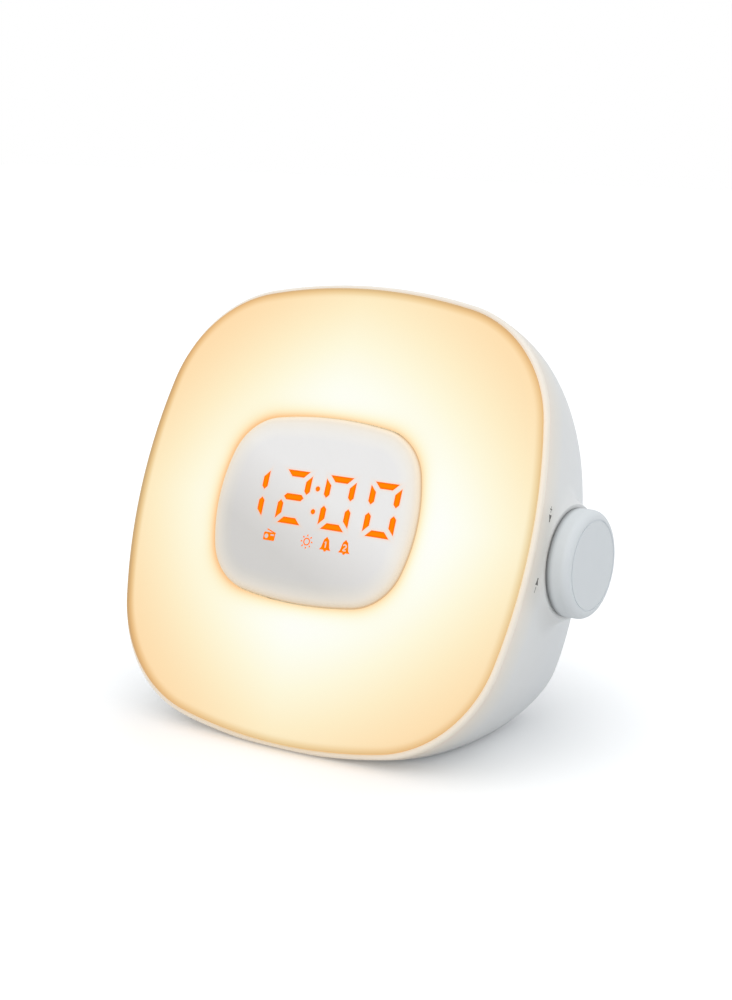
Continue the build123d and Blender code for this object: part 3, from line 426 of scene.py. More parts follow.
# A ring-shaped section, walked from the hole's edge over the dome, down the shoulder and back behind: point =
# (1 - share) * display outline + share * diffuser outline, each grown by its own amount, at its height
def buildDiffuser():
    around = diffuser["around"]
    turns = (evenTurns(diffuserOutline, around) + evenTurns(displayOutline, around)) / 2
    quarter = np.linspace(0, math.pi / 2, diffuser["roundSteps"])
    gap, lip, shoulder, wall = (diffuser[key] for key in ("holeGap", "lip", "shoulder", "wall"))
    quarterLength = shoulder * math.pi / 2
    edgeX, edgeY = outlineAt(displayOutline, turns, gap)
    shoulderX, shoulderY = outlineAt(diffuserOutline, turns, -shoulder)
    rows = []

    def addRow(share, innerGrow, outerGrow, peak=None, height=None, sink=0.0, bend=None):
        innerX, innerY = outlineAt(displayOutline, turns, innerGrow)
        outerX, outerY = outlineAt(diffuserOutline, turns, outerGrow)
        x = (1 - share) * innerX + share * outerX
        y = (1 - share) * innerY + share * outerY
        h = np.full_like(x, height) if peak is None else domeHeight(x, y, peak) - sink
        if bend is None:
            bend = -np.hypot(shoulderX - x, shoulderY - y) / quarterLength
        shoulderShade = shoulderShadeAt(turns, np.broadcast_to(bend, x.shape))
        rows.append((x, y, h, lampGlow(x, y, np.hypot(x - edgeX, y - edgeY)), shoulderShade))

    top, roof = diffuser["peak"], diffuser["peak"] - wall
    for angle in quarter:  # the lip of the hole: grow = gap + lip * (1 - cos), sink = lip * (1 - sin)
        addRow(0, gap + lip * (1 - math.cos(angle)), 0, top, sink=lip * (1 - math.sin(angle)))
    for share in np.linspace(0, 1, diffuser["across"])[1:]:
        addRow(share, gap + lip, -shoulder, top)
    for angle in quarter[1:]:  # the shoulder: grow = shoulder * (sin - 1), sink = shoulder * (1 - cos)
        addRow(1, 0, shoulder * (math.sin(angle) - 1), top, sink=shoulder * (1 - math.cos(angle)),
               bend=angle / (math.pi / 2))
    addRow(1, 0, 0, height=diffuser["seat"], bend=1)
    addRow(1, 0, -wall, height=diffuser["seat"], bend=1)
    inner = shoulder - wall
    for angle in quarter[::-1]:  # the same shoulder from behind, a wall further in
        addRow(1, 0, inner * (math.sin(angle) - 1) - wall, roof, sink=inner * (1 - math.cos(angle)), bend=1)
    for share in np.linspace(1, 0, diffuser["behind"])[1:]:
        addRow(share, gap, -shoulder, roof)
    x, y, h, glow, shoulderShade = (np.array(part) for part in zip(*rows))
    return pieceOf("diffuser", gridOf(onFace(x, y, h), ring=True, values={"glow": glow, "shoulderShade": shoulderShade}))


# Opal plastic lit from behind: warm at the edges, almost white where the lamps are, darker gold where the
# shoulder turns away, partly the lamp's own falloff and partly painted shade
def opalMaterial():
    rough, vary = diffuser["rough"], diffuser["roughVary"]
    sockets = {"Specular IOR Level": diffuser["gleam"]}
    material = newMaterial("warmOpal", linear(*diffuser["body"]), rough, **sockets)
    light = [(place, linear(*colour)) for place, colour in diffuser["light"]]
    lit = ramp(material, attributeOf(material, "glow"), light)
    shoulderShaded = ramp(material, attributeOf(material, "shoulderShade"), diffuser["shoulderShade"])
    shade = mixColours(material, 1.0, lit, shoulderShaded, "MULTIPLY")
    link(material, shade, "Emission Color")
    shaderOf(material).inputs["Emission Strength"].default_value = diffuser["glow"]
    link(material, mixColours(material, diffuser["ownDark"], shade, (0.0, 0.0, 0.0)), "Base Color")
    patches = noiseOf(material, diffuser["patch"])
    link(material, spread(material, patches, rough - vary, rough + vary), "Roughness")
    bump(material, noiseOf(material, diffuser["grain"]), diffuser["grainHeight"])
    return material


dress(buildDiffuser(), opalMaterial(), "clock_body", "diffuser", "diffuser_panel")
print("diffuser made")

# the display's lens is a pale pebble, domed as the diffuser is and hollow behind its front
lens = {
    "peak": 9.14,  # just under the lit windows
    "seat": 4.0,
    "round": 1.8,
    "wall": 2.4,
    "skin": 2.0,
    "around": 520,
    "across": 120,
    "behind": 12,
    "roundSteps": 10,
    "haloReach": 0.38,
    "haloShare": 0.5,
    "haloColour": (255, 190, 130),
    "shadeSlope": 0.5,  # painted shade: the grey deepens with -y - slope * x, from this value on and over this length
    "shadeFrom": -8.0,
    "shadeOver": 32.0,
    "evenShade": 0.32,  # what the grey tends to at the edge, how far, and from how far inside it
    "evenMost": 0.85,
    "evenWithin": 6.5,
    "edgeWidth": 10,  # how far in the edge's colours reach
    # a faint painted glow of the lens's own colour, all over it
    "glow": 0.28,
    "rough": 0.4,
    "roughVary": 0.04,
    "patch": 14,
    "patchDark": 0.985,
    "grain": 0.3,
    "grainHeight": 0.06,
    "body": (232, 232, 232),
    "grey": [  # painted shade as screen colours, from the palest place to the deepest
        (0.0, (234, 233, 232)),
        (0.5, (222, 220, 218)),
        (1.0, (208, 206, 203)),
    ],
    "edge": [  # what the grey is multiplied by, from the edge inwards: painted shade at the very edge, then the lamp's painted cream light
        (0.0, (0.74, 0.62, 0.46)),
        (0.03, (0.96, 0.83, 0.66)),
        (0.07, (1.0, 0.875, 0.70)),
        (0.14, (1.0, 0.90, 0.76)),
        (0.3, (0.97, 0.92, 0.84)),
        (0.55, (0.93, 0.91, 0.87)),
        (0.9, (0.885, 0.88, 0.877)),
    ],
}

# four seven-segment digits and the colon between them
digits = {
    "height": 20.3,
    "width": 13.1,
    "stroke": 2.4,
    "split": 1.5,
    "pitch": 19.52,
    "middle": 3.6,
    "first": -28.7,
    "shown": ("one", "two", "zero", "zero"),
    "colonX": 0.65,
    "colonRise": 4.33,
    "colonRadius": 1.0,
}
segmentsOf = {
    "zero": ("top", "upperRight", "lowerRight", "bottom", "lowerLeft", "upperLeft"),
    "one": ("upperRight", "lowerRight"),
    "two": ("top", "upperRight", "middle", "lowerLeft", "bottom"),
}


# each lit segment with the middle of its digit: x = first + place * pitch
def litSegments():
    for place, digit in enumerate(digits["shown"]):
        for name in segmentsOf[digit]:
            yield name, np.array([digits["first"] + place * digits["pitch"], digits["middle"]])


# the colon's dots stand colonRise below and above the digits' middle
def colonMiddles():
    return [np.array([digits["colonX"], digits["middle"] + way * digits["colonRise"]]) for way in (-1, 1)]


# ends of a segment's middle line about the middle of its digit
def segmentEnds(name):
    side = digits["width"] / 2 - digits["stroke"] / 2
    top = digits["height"] / 2 - digits["stroke"] / 2
    reach = side - digits["split"]
    if name in ("top", "middle", "bottom"):
        level = {"top": top, "middle": 0.0, "bottom": -top}[name]
        return np.array([(-reach, level), (reach, level)])
    x = side if name.endswith("Right") else -side
    way = 1 if name.startswith("upper") else -1
    return np.array([(x, way * digits["split"]), (x, way * (top - digits["split"] / 2))])


# corners of a segment about the middle of its digit: slanted ends at the digit's corners, and points where
# two segments meet in a line
def segmentCorners(name):
    right, top, half = digits["width"] / 2, digits["height"] / 2, digits["stroke"] / 2
    stroke, split = digits["stroke"], digits["split"]
    reach = right - split
    if name == "middle":
        tip, flat = reach - half / 2, reach - 1.5 * half
        return np.array([(-tip, 0), (-flat, half), (flat, half), (tip, 0), (flat, -half), (-flat, -half)])
    if name in ("top", "bottom"):
        way = 1 if name == "top" else -1
        outer, inner, short = way * top, way * (top - stroke), reach - stroke
        return np.array([(-reach, outer), (reach, outer), (short, inner), (-short, inner)])
    side = 1 if name.endswith("Right") else -1
    way = 1 if name.startswith("upper") else -1
    outer, inner = side * right, side * (right - stroke)
    far, near = way * (top - split), way * (split + half)
    return np.array([(outer, far), (outer, near), ((outer + inner) / 2, way * split), (inner, near),
                     (inner, way * (top - split - stroke))])


# distance to a window = the largest of (p - corner) . outward over its sides, and the least of that over all
# windows; to a dot it is the distance to its middle - its radius
def distanceToDigits(x, y):
    nearest = np.full(x.shape, np.inf)
    for name, at in litSegments():
        corners = segmentCorners(name) + at
        sides = np.roll(corners, -1, axis=0) - corners
        outward = np.stack([sides[:, 1], -sides[:, 0]], -1) / np.linalg.norm(sides, axis=1)[:, None]
        outward *= np.sign(np.sum((corners - corners.mean(0)) * outward, axis=1))[:, None]
        gaps = [(x - cornerX) * outX + (y - cornerY) * outY
                for (cornerX, cornerY), (outX, outY) in zip(corners, outward)]
        nearest = np.minimum(nearest, np.max(gaps, axis=0))
    for middleX, middleY in colonMiddles():
        nearest = np.minimum(nearest, np.hypot(x - middleX, y - middleY) - digits["colonRadius"])
    return np.maximum(nearest, 0)


# point = share * outline, grown by its own amount, from the tip of the front, over the edge's quarter turn
# and down to the seat, then in and up the wall to the tip behind the front
def buildLens():
    turns = evenTurns(displayOutline, lens["around"])
    quarter = np.linspace(0, math.pi / 2, lens["roundSteps"])
    edgeX, edgeY = outlineAt(displayOutline, turns)
    rows = []

    def addRow(share, grow, peak=None, height=None, sink=0.0):
        outX, outY = outlineAt(displayOutline, turns, grow)
        x, y = share * outX, share * outY
        h = np.full_like(x, height) if peak is None else domeHeight(x, y, peak) - sink
        inside = (edgeX - x) * np.cos(turns) + (edgeY - y) * np.sin(turns)
        shade = np.clip((-y - lens["shadeSlope"] * x - lens["shadeFrom"]) / lens["shadeOver"], 0, 1)
        even = lens["evenMost"] * np.clip(1 - inside / lens["evenWithin"], 0, 1)
        shade = shade + (lens["evenShade"] - shade) * even
        halo = np.exp(-distanceToDigits(x, y) / lens["haloReach"])
        rows.append((x, y, h, inside / lens["edgeWidth"], shade, halo))

    top, roof, wall = lens["peak"], lens["peak"] - lens["skin"], lens["wall"]
    for share in np.linspace(0, 1, lens["across"])[1:]:
        addRow(share, -lens["round"], top)
    for angle in quarter[1:]:  # the edge: grow = round * (sin - 1), sink = round * (1 - cos)
        addRow(1, lens["round"] * (math.sin(angle) - 1), top, sink=lens["round"] * (1 - math.cos(angle)))
    addRow(1, 0, height=lens["seat"])
    addRow(1, -wall, height=lens["seat"])
    for share in np.linspace(1, 0, lens["behind"])[:-1]:
        addRow(share, -wall, roof)
    x, y, h, inside, shade, halo = (np.array(part) for part in zip(*rows))
    return pieceOf("lens", gridOf(onFace(x, y, h), startTip=onFace(0, 0, top), endTip=onFace(0, 0, roof),
                                  values={"inside": inside, "shade": shade, "halo": halo}))


# Satin grey acrylic with painted shade that deepens it towards the lower left; it takes the lamp's cream at
# its edge and glows round the digits, both painted light, and its own colour glows faintly all over as
# painted light
def lensMaterial():
    material = newMaterial("paleLens", linear(*lens["body"]), lens["rough"])
    greys = [(place, linear(*colour)) for place, colour in lens["grey"]]
    grey = ramp(material, attributeOf(material, "shade"), greys)
    edge = ramp(material, attributeOf(material, "inside"), lens["edge"])
    warm = mixColours(material, 1.0, grey, edge, "MULTIPLY")
    halo = spread(material, attributeOf(material, "halo"), 0, lens["haloShare"])
    lit = mixColours(material, halo, warm, linear(*lens["haloColour"]))
    link(material, lit, "Emission Color")
    shaderOf(material).inputs["Emission Strength"].default_value = lens["glow"]
    patches = noiseOf(material, lens["patch"], mottling["detail"])
    stops = [(mottling["low"], (lens["patchDark"],) * 3), (mottling["high"], (1.0,) * 3)]
    link(material, mixColours(material, 1.0, lit, ramp(material, patches, stops), "MULTIPLY"), "Base Color")
    low, high = lens["rough"] - lens["roughVary"], lens["rough"] + lens["roughVary"]
    link(material, spread(material, patches, low, high), "Roughness")
    bump(material, noiseOf(material, lens["grain"]), lens["grainHeight"])
    return material


dress(buildLens(), lensMaterial(), "clock_body", "lens", "display_lens")

# the lit windows are inlaid in the lens and stand just over it
windows = {
    "peak": 9.2,
    "depth": 1.15,
    "shares": (1.0, 1.0, 0.93, 0.75, 0.5, 0.25, 0.04),  # the first row is the foot of the wall
    "sideSteps": 6,
    "dotSides": 8,
    "middle": (255, 128, 0),
    "edge": (255, 98, 2),
    "middleTo": 0.35,
    "edgeFrom": 0.95,
    "glow": 0.95,
    "body": (150, 60, 0),
    "rough": 0.6,
    "roughVary": 0.05,
    "patch": 2.5,
}


# point = q + share * (p - q), where p runs round the outline and q is its nearest point on the middle line,
# shortened by half the stroke at both ends; share falls from 1 at the edge to almost 0 in the middle
def windowGrid(corners, ends):
    closed = runs([*corners, corners[0]], windows["sideSteps"])[:-1]
    along, middle = ends[1] - ends[0], (ends[0] + ends[1]) / 2
    length = max(np.hypot(*along), 1e-6)  # a dot has none
    keep = max(1 - digits["stroke"] / length, 0.0)
    t = np.clip((closed - middle) @ along / length**2, -keep / 2, keep / 2)
    core = middle + t[:, None] * along
    shares = np.array(windows["shares"])
    x, y = (core + shares[:, None, None] * (closed - core)).transpose(2, 0, 1)
    h = domeHeight(x, y, windows["peak"])
    h[0] -= windows["depth"]
    top = domeHeight(*middle, windows["peak"])
    return gridOf(onFace(x, y, h), startTip=onFace(*middle, top - windows["depth"]),
                  endTip=onFace(*middle, top), values={"edge": np.broadcast_to(shares[:, None], x.shape)})


def buildDigits():
    return pieceOf("digits", *[windowGrid(segmentCorners(name) + at, segmentEnds(name) + at)
                               for name, at in litSegments()])


# point on a dot's outline = middle + radius * (cos angle, sin angle)
def buildColon():
    angles = np.linspace(0, 2 * math.pi, windows["dotSides"], endpoint=False)
    dot = digits["colonRadius"] * np.stack([np.cos(angles), np.sin(angles)], -1)
    return pieceOf("colon", *[windowGrid(dot + at, np.array([at, at])) for at in colonMiddles()])


# Orange light: fuller in the middle of a window and deeper at its edge, or in patches where there is no edge
# to go by
def windowMaterial(name, byEdge):
    rough, vary = windows["rough"], windows["roughVary"]
    material = newMaterial(name, linear(*windows["body"]), rough, **{"Specular IOR Level": 0.0})
    patches = noiseOf(material, windows["patch"], 1.0)
    factor = attributeOf(material, "edge") if byEdge else patches
    link(material, ramp(material, factor, [
        (windows["middleTo"], linear(*windows["middle"])),
        (windows["edgeFrom"], linear(*windows["edge"])),
    ]), "Emission Color")
    shaderOf(material).inputs["Emission Strength"].default_value = windows["glow"]
    link(material, spread(material, patches, rough - vary, rough + vary), "Roughness")
    return material


litWindow = windowMaterial("orangeWindow", True)
dress(buildDigits(), litWindow, "clock_body", "orange_light", "digit_segments")
dress(buildColon(), litWindow, "clock_body", "orange_light", "colon_dots")
paint(windowMaterial("orangeIcon", False), "status_icons")
print("display made")


# A ribbon is a thin raised line on a surface: the four corners of its section stand at half the width either
# side of the path, from low to high over the surface, and place(u, v, rise) puts a corner on it
def ribbonGrid(path, widths, low, high, place):
    along = np.gradient(path, axis=0)
    along /= np.linalg.norm(along, axis=1)[:, None]
    widths = np.broadcast_to(widths, len(path))[:, None]
    side = np.stack([-along[:, 1], along[:, 0]], -1) * widths / 2
    left, right = path + side, path - side
    corners = [(left, low), (left, high), (right, high), (right, low)]
    points = np.stack([place(at[:, 0], at[:, 1], np.full(len(path), rise)) for at, rise in corners], 1)
    return gridOf(points, startTip=points[0].mean(0), endTip=points[-1].mean(0))


# the numerals 1 and 2 on the two bells
numerals = {
    "row": -12.1,
    "places": {"one": 9.1, "two": 17.5},
    "height": 2.2,
    "width": 1.5,
    "line": 0.46,
    "low": -0.1,
    "high": 0.03,
}


# a path in shares of the numeral's width and height about its middle; the two starts with an arc,
# point = middle + radius * (cos angle, sin angle)
def numeralPath(name):
    if name == "one":
        return runs([(-0.28, 0.3), (0.05, 0.5), (0.05, -0.5)])
    angles = np.radians(np.linspace(160, -30, 14))
    crown = np.stack([0.44 * np.cos(angles), 0.24 + 0.26 * np.sin(angles)], -1)
    return np.concatenate([crown, runs([(-0.42, -0.48), (0.5, -0.48)])])


# place = (x, y) on the windows' dome, raised by rise
def onLens(x, y, rise):
    return onFace(x, y, domeHeight(x, y, windows["peak"]) + rise)


paleInk = plastic("paleInk", linear(238, 228, 216), 0.6, grain=0.2, strength=0.1)
for name, place in numerals["places"].items():
    path = numeralPath(name) * (numerals["width"], numerals["height"]) + (place, numerals["row"])
    grid = ribbonGrid(path, numerals["line"], numerals["low"], numerals["high"], onLens)
    dress(pieceOf("numeral_" + name, grid, smooth=False), paleInk, "clock_body", "lens")
print("numerals made")

# the printed marks beside the volume knob; u runs backwards from the rim plane and v up along the face
marks = {
    "depth": 12.0,
    "places": {"louder": 15.2, "loud": 12.0, "quiet": -11.1, "quieter": -14.0},
    "line": 0.4,
    "arm": 1.15,
    "hornStem": 0.95,
    "hornMouth": 2.7,
    "hornFoot": -1.35,
    "hornNeck": -0.5,
    "hornTop": 1.2,
    "low": -0.05,
    "high": 0.03,
    "fitWidth": 5.0,  # the wall is fitted over this square, from this many rays along a side
    "fitReach": 4,
    "raysFrom": 120.0,
}


def wallTerms(u, v):
    return np.stack([np.ones_like(u), u, v, u**2, u * v, v**2], -1)


# the wall near a mark is x = c0 + c1 * u + c2 * v + c3 * u ** 2 + c4 * u * v + c5 * v ** 2, fitted to rays
# that meet it from the side
def wallNear(depth, level):
    steps = np.linspace(-marks["fitWidth"] / 2, marks["fitWidth"] / 2, marks["fitReach"])
    u, v = (part.ravel() for part in np.meshgrid(depth + steps, level + steps))
    starts = onFace(np.full(u.shape, marks["raysFrom"]), v, -u)
    found = [cad["rear_housing"].ray_cast(Vector(start), Vector((-1, 0, 0))) for start in starts]
    x = np.array([hit[1][0] for hit in found]) / mm
    terms = np.linalg.lstsq(wallTerms(u - depth, v - level), x, rcond=None)[0]

    def place(across, upward, rise):
        return onFace(wallTerms(across, upward) @ terms + rise, upward + level, -(across + depth))

    return place


# a mark is a list of (path, widths) about its own middle; a horn, whose width grows evenly from stem to
# mouth, opens upwards beside the plus and downwards beside the minus
def markLines(name):
    line, arm = marks["line"], marks["arm"]
    if name == "louder":
        return [(runs([(-arm, 0), (arm, 0)]), line), (runs([(0, -arm), (0, arm)]), line)]
    if name == "quieter":
        return [(runs([(0, -arm), (0, arm)]), line)]
    way = 1 if name == "loud" else -1
    foot, neck, top = (way * marks[key] for key in ("hornFoot", "hornNeck", "hornTop"))
    horn = runs([(0, neck), (0, top)])
    widths = np.linspace(marks["hornStem"], marks["hornMouth"], len(horn))
    return [(runs([(0, foot), (0, neck)]), marks["hornStem"]), (horn, widths)]


darkInk = plastic("darkInk", linear(104, 102, 98), 0.6, grain=0.2, strength=0.1)
for name, level in marks["places"].items():
    place = wallNear(marks["depth"], level)
    grids = [ribbonGrid(path, widths, marks["low"], marks["high"], place)
             for path, widths in markLines(name)]
    dress(pieceOf("mark_" + name, *grids, smooth=False), darkInk, "clock_body", "white_shell")
print("side marks made")

# housing and rim: stops are (distance behind the rim plane, colour, light that comes through)
shell = {
    "reach": 60.0,
    "fade": (125.0, 160.0),  # heights over which the light that comes through falls away
    "fadeTo": 0.15,
    "mottle": 0.015,
    "rim": [
        (0.0, linear(250, 244, 234), (0.12, 0.085, 0.045)),
        (3.0, linear(248, 242, 232), (0.09, 0.065, 0.04)),
    ],
    "housing": [
        (3.0, linear(244, 238, 228), (0.05, 0.03, 0.01)),
        (10.0, linear(242, 240, 234), (0.025, 0.015, 0.005)),
        (20.0, linear(240, 241, 240), (0.0, 0.0, 0.0)),
        (60.0, linear(236, 239, 241), (0.0, 0.0, 0.0)),
    ],
}


# share = distance behind the rim plane / reach, where distance = (place - middle of the face) . -out
def behindRim(material, reach):
    along = placeStep(material, "DOT_PRODUCT", placeOf(material), tuple(-faceOut))["Value"]
    start = float(faceMiddle @ -faceOut) * mm
    return spread(material, along, 0.0, 1.0, start, start + reach * mm)


# moulded shell: warm where the lamp's light creeps over and through the rim, cool behind
def shellMaterial(name, roughness, stops):
    material = newMaterial(name, stops[-1][1], roughness)
    place = behindRim(material, shell["reach"])
    tint = ramp(material, place, [(depth / shell["reach"], colour) for depth, colour, light in stops])
    through = ramp(material, place, [(depth / shell["reach"], light) for depth, colour, light in stops])
    link(material, through, "Emission Color")
    low, high = shell["fade"]
    fading = spread(material, placeAlong(material, "Z"), 1.0, shell["fadeTo"], low * mm, high * mm)
    link(material, fading, "Emission Strength")
    return mould(material, tint, roughness, mottle=shell["mottle"])


knob = {
    "seat": 87.0,
    "fade": 3.0,
    "grey": linear(233, 238, 241),
    # levels of painted shade on the skirt, from the wall outwards
    "seatShade": [(0.0, 0.2), (0.15, 0.3), (0.35, 0.58), (0.6, 0.86), (0.85, 0.97), (1.0, 1.0)],
    "rough": 0.55,
}


# soft-touch grey with painted shade, darker where the skirt comes close to the wall; share = (x - seat) /
# fade
def knobMaterial():
    material = newMaterial("softGrey", knob["grey"], knob["rough"])
    start, end = knob["seat"] * mm, (knob["seat"] + knob["fade"]) * mm
    share = spread(material, placeAlong(material, "X"), 0.0, 1.0, start, end)
    tint = ramp(material, share, [(place, scaled(knob["grey"], level)) for place, level in knob["seatShade"]])
    return mould(material, tint, knob["rough"], grain=0.3, strength=0.25, mottle=0.015)


paint(shellMaterial("whiteShell", 0.46, shell["housing"]), "rear_housing")
paint(shellMaterial("rimShell", 0.42, shell["rim"]), "front_bezel")
paint(knobMaterial(), "volume_knob")

# each plastic: colour on a screen, roughness, texture, nodes
keys = ("snooze", "alarm_one", "alarm_two", "light", "radio")
plastics = {
    "keyGrey": ((230, 233, 236), 0.5, {"grain": 0.3, "mottle": 0.02}, [key + "_key" for key in keys]),
    "doorShell": ((233, 234, 233), 0.5, {}, ["battery_door"]),
    "blackMoulding": ((38, 38, 40), 0.45, {"grain": 0.3, "strength": 0.3, "mottle": 0.12},
                      ["display_module", "key_switches", "power_socket", "volume_encoder"]),
    "plungerBlack": ((30, 30, 31), 0.4, {"mottle": 0.1}, [key + "_plunger" for key in keys]),
    "whiteMoulding": ((236, 235, 230), 0.6, {"grain": 0.6, "strength": 0.3},
                      ["light_reflector", "display_shroud", "battery_cup"]),
    "phosphor": ((255, 214, 96), 0.3, {"grain": 0.15, "strength": 0.4, "mottle": 0.12}, ["warm_leds"]),
    "epoxyBlack": ((42, 42, 45), 0.5, {"grain": 0.15, "strength": 0.3, "mottle": 0.15}, ["board_components"]),
    "rubberRoll": ((34, 34, 35), 0.7, {"grain": 0.2, "strength": 0.3, "mottle": 0.1}, ["speaker_surround"]),
    "gasketFoam": ((58, 58, 60), 0.9, {"grain": 0.5, "strength": 1.0, "mottle": 0.3}, ["speaker_gasket"]),
    "paleRubber": ((206, 206, 204), 0.75, {"grain": 0.4, "strength": 0.5, "mottle": 0.06}, ["foot_ring"]),
}
for name, (colour, roughness, texture, nodes) in plastics.items():
    paint(plastic(name, linear(*colour), roughness, **texture), *nodes)

# each metal: colour on a screen, roughness, size of its lines, how close they are packed on each axis, nodes
metals = {
    "zincSteel": ((176, 178, 182), 0.32, 3.0, (1, 12, 12),
                  ["housing_screws", "board_screws", "reflector_screws", "key_board_screws", "speaker_screws",
                   "encoder_nut", "encoder_shaft"]),
    "pressedSteel": ((158, 160, 162), 0.38, 6.0, (1, 12, 12), ["speaker_basket", "cell_contact"]),
    "cellSteel": ((196, 198, 200), 0.22, 2.0, (1, 1, 14), ["backup_cell"]),
    "nickelPin": ((206, 202, 192), 0.18, 1.0, (12, 1, 1), ["socket_pin"]),
    "ferrite": ((92, 92, 95), 0.55, 1.5, (1, 1, 1), ["speaker_magnet"]),
}
metalLines = {"detail": 4.0, "dark": 0.8, "glossier": 0.08, "duller": 0.1, "height": 0.15}


# rolled or turned metal: fine lines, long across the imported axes, in its height, colour and gloss
def metal(name, colour, roughness, size, pack):
    material = newMaterial(name, colour, roughness, Metallic=1.0)
    lines = noiseOf(material, size, metalLines["detail"], pack)
    stops = [(mottling["low"], scaled(colour, metalLines["dark"])), (mottling["high"], colour)]
    link(material, ramp(material, lines, stops), "Base Color")
    low, high = roughness - metalLines["glossier"], roughness + metalLines["duller"]
    link(material, spread(material, lines, low, high), "Roughness")
    bump(material, lines, metalLines["height"])
    return material


for name, (colour, roughness, size, pack, nodes) in metals.items():
    paint(metal(name, linear(*colour), roughness, size, pack), *nodes)

# each printed board: mask and track colours on a screen, distance between pads, nodes
boards = {
    "greenBoard": ((26, 92, 50), (48, 124, 74), 5.0, ["main_board", "key_board", "display_board"]),
    "whiteBoard": ((232, 232, 228), (214, 214, 208), 7.0, ["light_board"]),
}
tracks = {
    "rings": 22.0,
    "maskTo": 0.45,
    "trackFrom": 0.6,
    "rough": 0.35,
    "maskRough": 0.42,
    "trackRough": 0.3,
    "strength": 0.2,
    "depth": 0.03,
}


# solder mask, with tracks that show lighter through it as rings of straight runs round their pads:
# ring = sine of (rings * distance to the nearest pad), the distance being |x| + |y| + |z|
def circuit(name, mask, track, size):
    material = newMaterial(name, mask, tracks["rough"])
    sockets = {"Vector": placeOf(material), "Scale": 1 / (size * mm)}
    pads = addNode(material, "ShaderNodeTexVoronoi", sockets, distance="MANHATTAN")
    rings = numberStep(material, "MULTIPLY", pads.outputs["Distance"], tracks["rings"])
    wave = numberStep(material, "SINE", rings)
    stops = [(tracks["maskTo"], mask), (tracks["trackFrom"], track)]
    link(material, ramp(material, wave, stops), "Base Color")
    link(material, spread(material, wave, tracks["maskRough"], tracks["trackRough"]), "Roughness")
    bump(material, wave, tracks["strength"], tracks["depth"])
    return material


for name, (mask, track, size, nodes) in boards.items():
    paint(circuit(name, linear(*mask), linear(*track), size), *nodes)

cone = {
    "rib": 1.6,
    "ribStrength": 0.4,
    "ribDepth": 0.1,
    "ribShare": 0.5,  # of its own colour on the highest part of a rib
    "fibre": 0.25,
    "dark": linear(40, 38, 37),
    "pale": linear(56, 54, 52),
    "onRib": linear(34, 32, 31),
    "body": linear(46, 44, 43),
    "rough": 0.85,
    "roughVary": 0.07,
}


# Pressed paper: waves of the distance from the cone's middle, over fibres
def coneMaterial():
    material = newMaterial("pressedPaper", cone["body"], cone["rough"])
    box = [Vector(corner) for corner in cad["speaker_cone"].bound_box]
    middle = sum(box, Vector()) / len(box)
    fromMiddle = placeStep(material, "SUBTRACT", placeOf(material), middle)["Vector"]
    ribs = wavesOf(material, placeStep(material, "LENGTH", fromMiddle)["Value"], cone["rib"])
    fibres = noiseOf(material, cone["fibre"])
    paper = ramp(material, fibres, [(mottling["low"], cone["dark"]), (mottling["high"], cone["pale"])])
    ribbed = mixColours(material, spread(material, ribs, 0, cone["ribShare"], -1, 1), paper, cone["onRib"])
    link(material, ribbed, "Base Color")
    low, high = cone["rough"] - cone["roughVary"], cone["rough"] + cone["roughVary"]
    link(material, spread(material, fibres, low, high), "Roughness")
    bump(material, ribs, cone["ribStrength"], cone["ribDepth"])
    return material


cable = {
    "wire": 1.25,
    "strength": 0.3,
    "depth": 0.05,
    "between": (0.2, linear(228, 228, 222)),  # height of the wave, colour
    "overWire": (0.7, linear(196, 190, 176)),
    "body": linear(226, 226, 220),
    "rough": 0.3,
    "betweenRough": 0.36,
    "wireRough": 0.26,
}


# Flat cable: its wires show as stripes along it, in waves of the place across the cable
def cableMaterial():
    material = newMaterial("flatCable", cable["body"], cable["rough"])
    wires = wavesOf(material, placeAlong(material, "X"), cable["wire"])
    link(material, ramp(material, wires, [cable["between"], cable["overWire"]]), "Base Color")
    link(material, spread(material, wires, cable["betweenRough"], cable["wireRough"], -1.0, 1.0), "Roughness")
    bump(material, wires, cable["strength"], cable["depth"])
    return material


paint(coneMaterial(), "speaker_cone")
paint(cableMaterial(), "display_ribbon")
bare = [name for name in cad if not cad[name].hide_render and not cad[name].data.materials]
print("finishes set; bare nodes:", bare)

# floor, sky and suns
studio = {
    "floorSize": 6000.0,
    "floorSeen": 0.93,  # to the camera
    "floorBounce": 0.68,  # to the object
    "floorLift": (0.96, 1.0, 1.03),  # colour of the light that the camera sees added to the floor
    "liftNear": 0.15,  # its strength up to the first distance, and beyond the second; weaker near the object, a painted shade round it
    "liftFar": 0.34,
    "liftFrom": 78.0,
    "liftTo": 140.0,
    "skyLight": 0.68,
    "skyTint": (0.97, 0.985, 1.0),
    "sunSpread": 75.0,
    "suns": {"keySun": (-20, 68, 0.63), "fillSun": (62, 36, 0.28)},  # turn, rise, strength
}


# seen = the largest of: camera ray, glossy ray, transmission ray
def seenRay(tree):
    path = tree.nodes.new("ShaderNodeLightPath")
    seen = path.outputs["Is Camera Ray"]
    for name in ("Is Glossy Ray", "Is Transmission Ray"):
        larger = tree.nodes.new("ShaderNodeMath")
        larger.operation = "MAXIMUM"
        tree.links.new(seen, larger.inputs[0])
        tree.links.new(path.outputs[name], larger.inputs[1])
        seen = larger.outputs[0]
    return seen
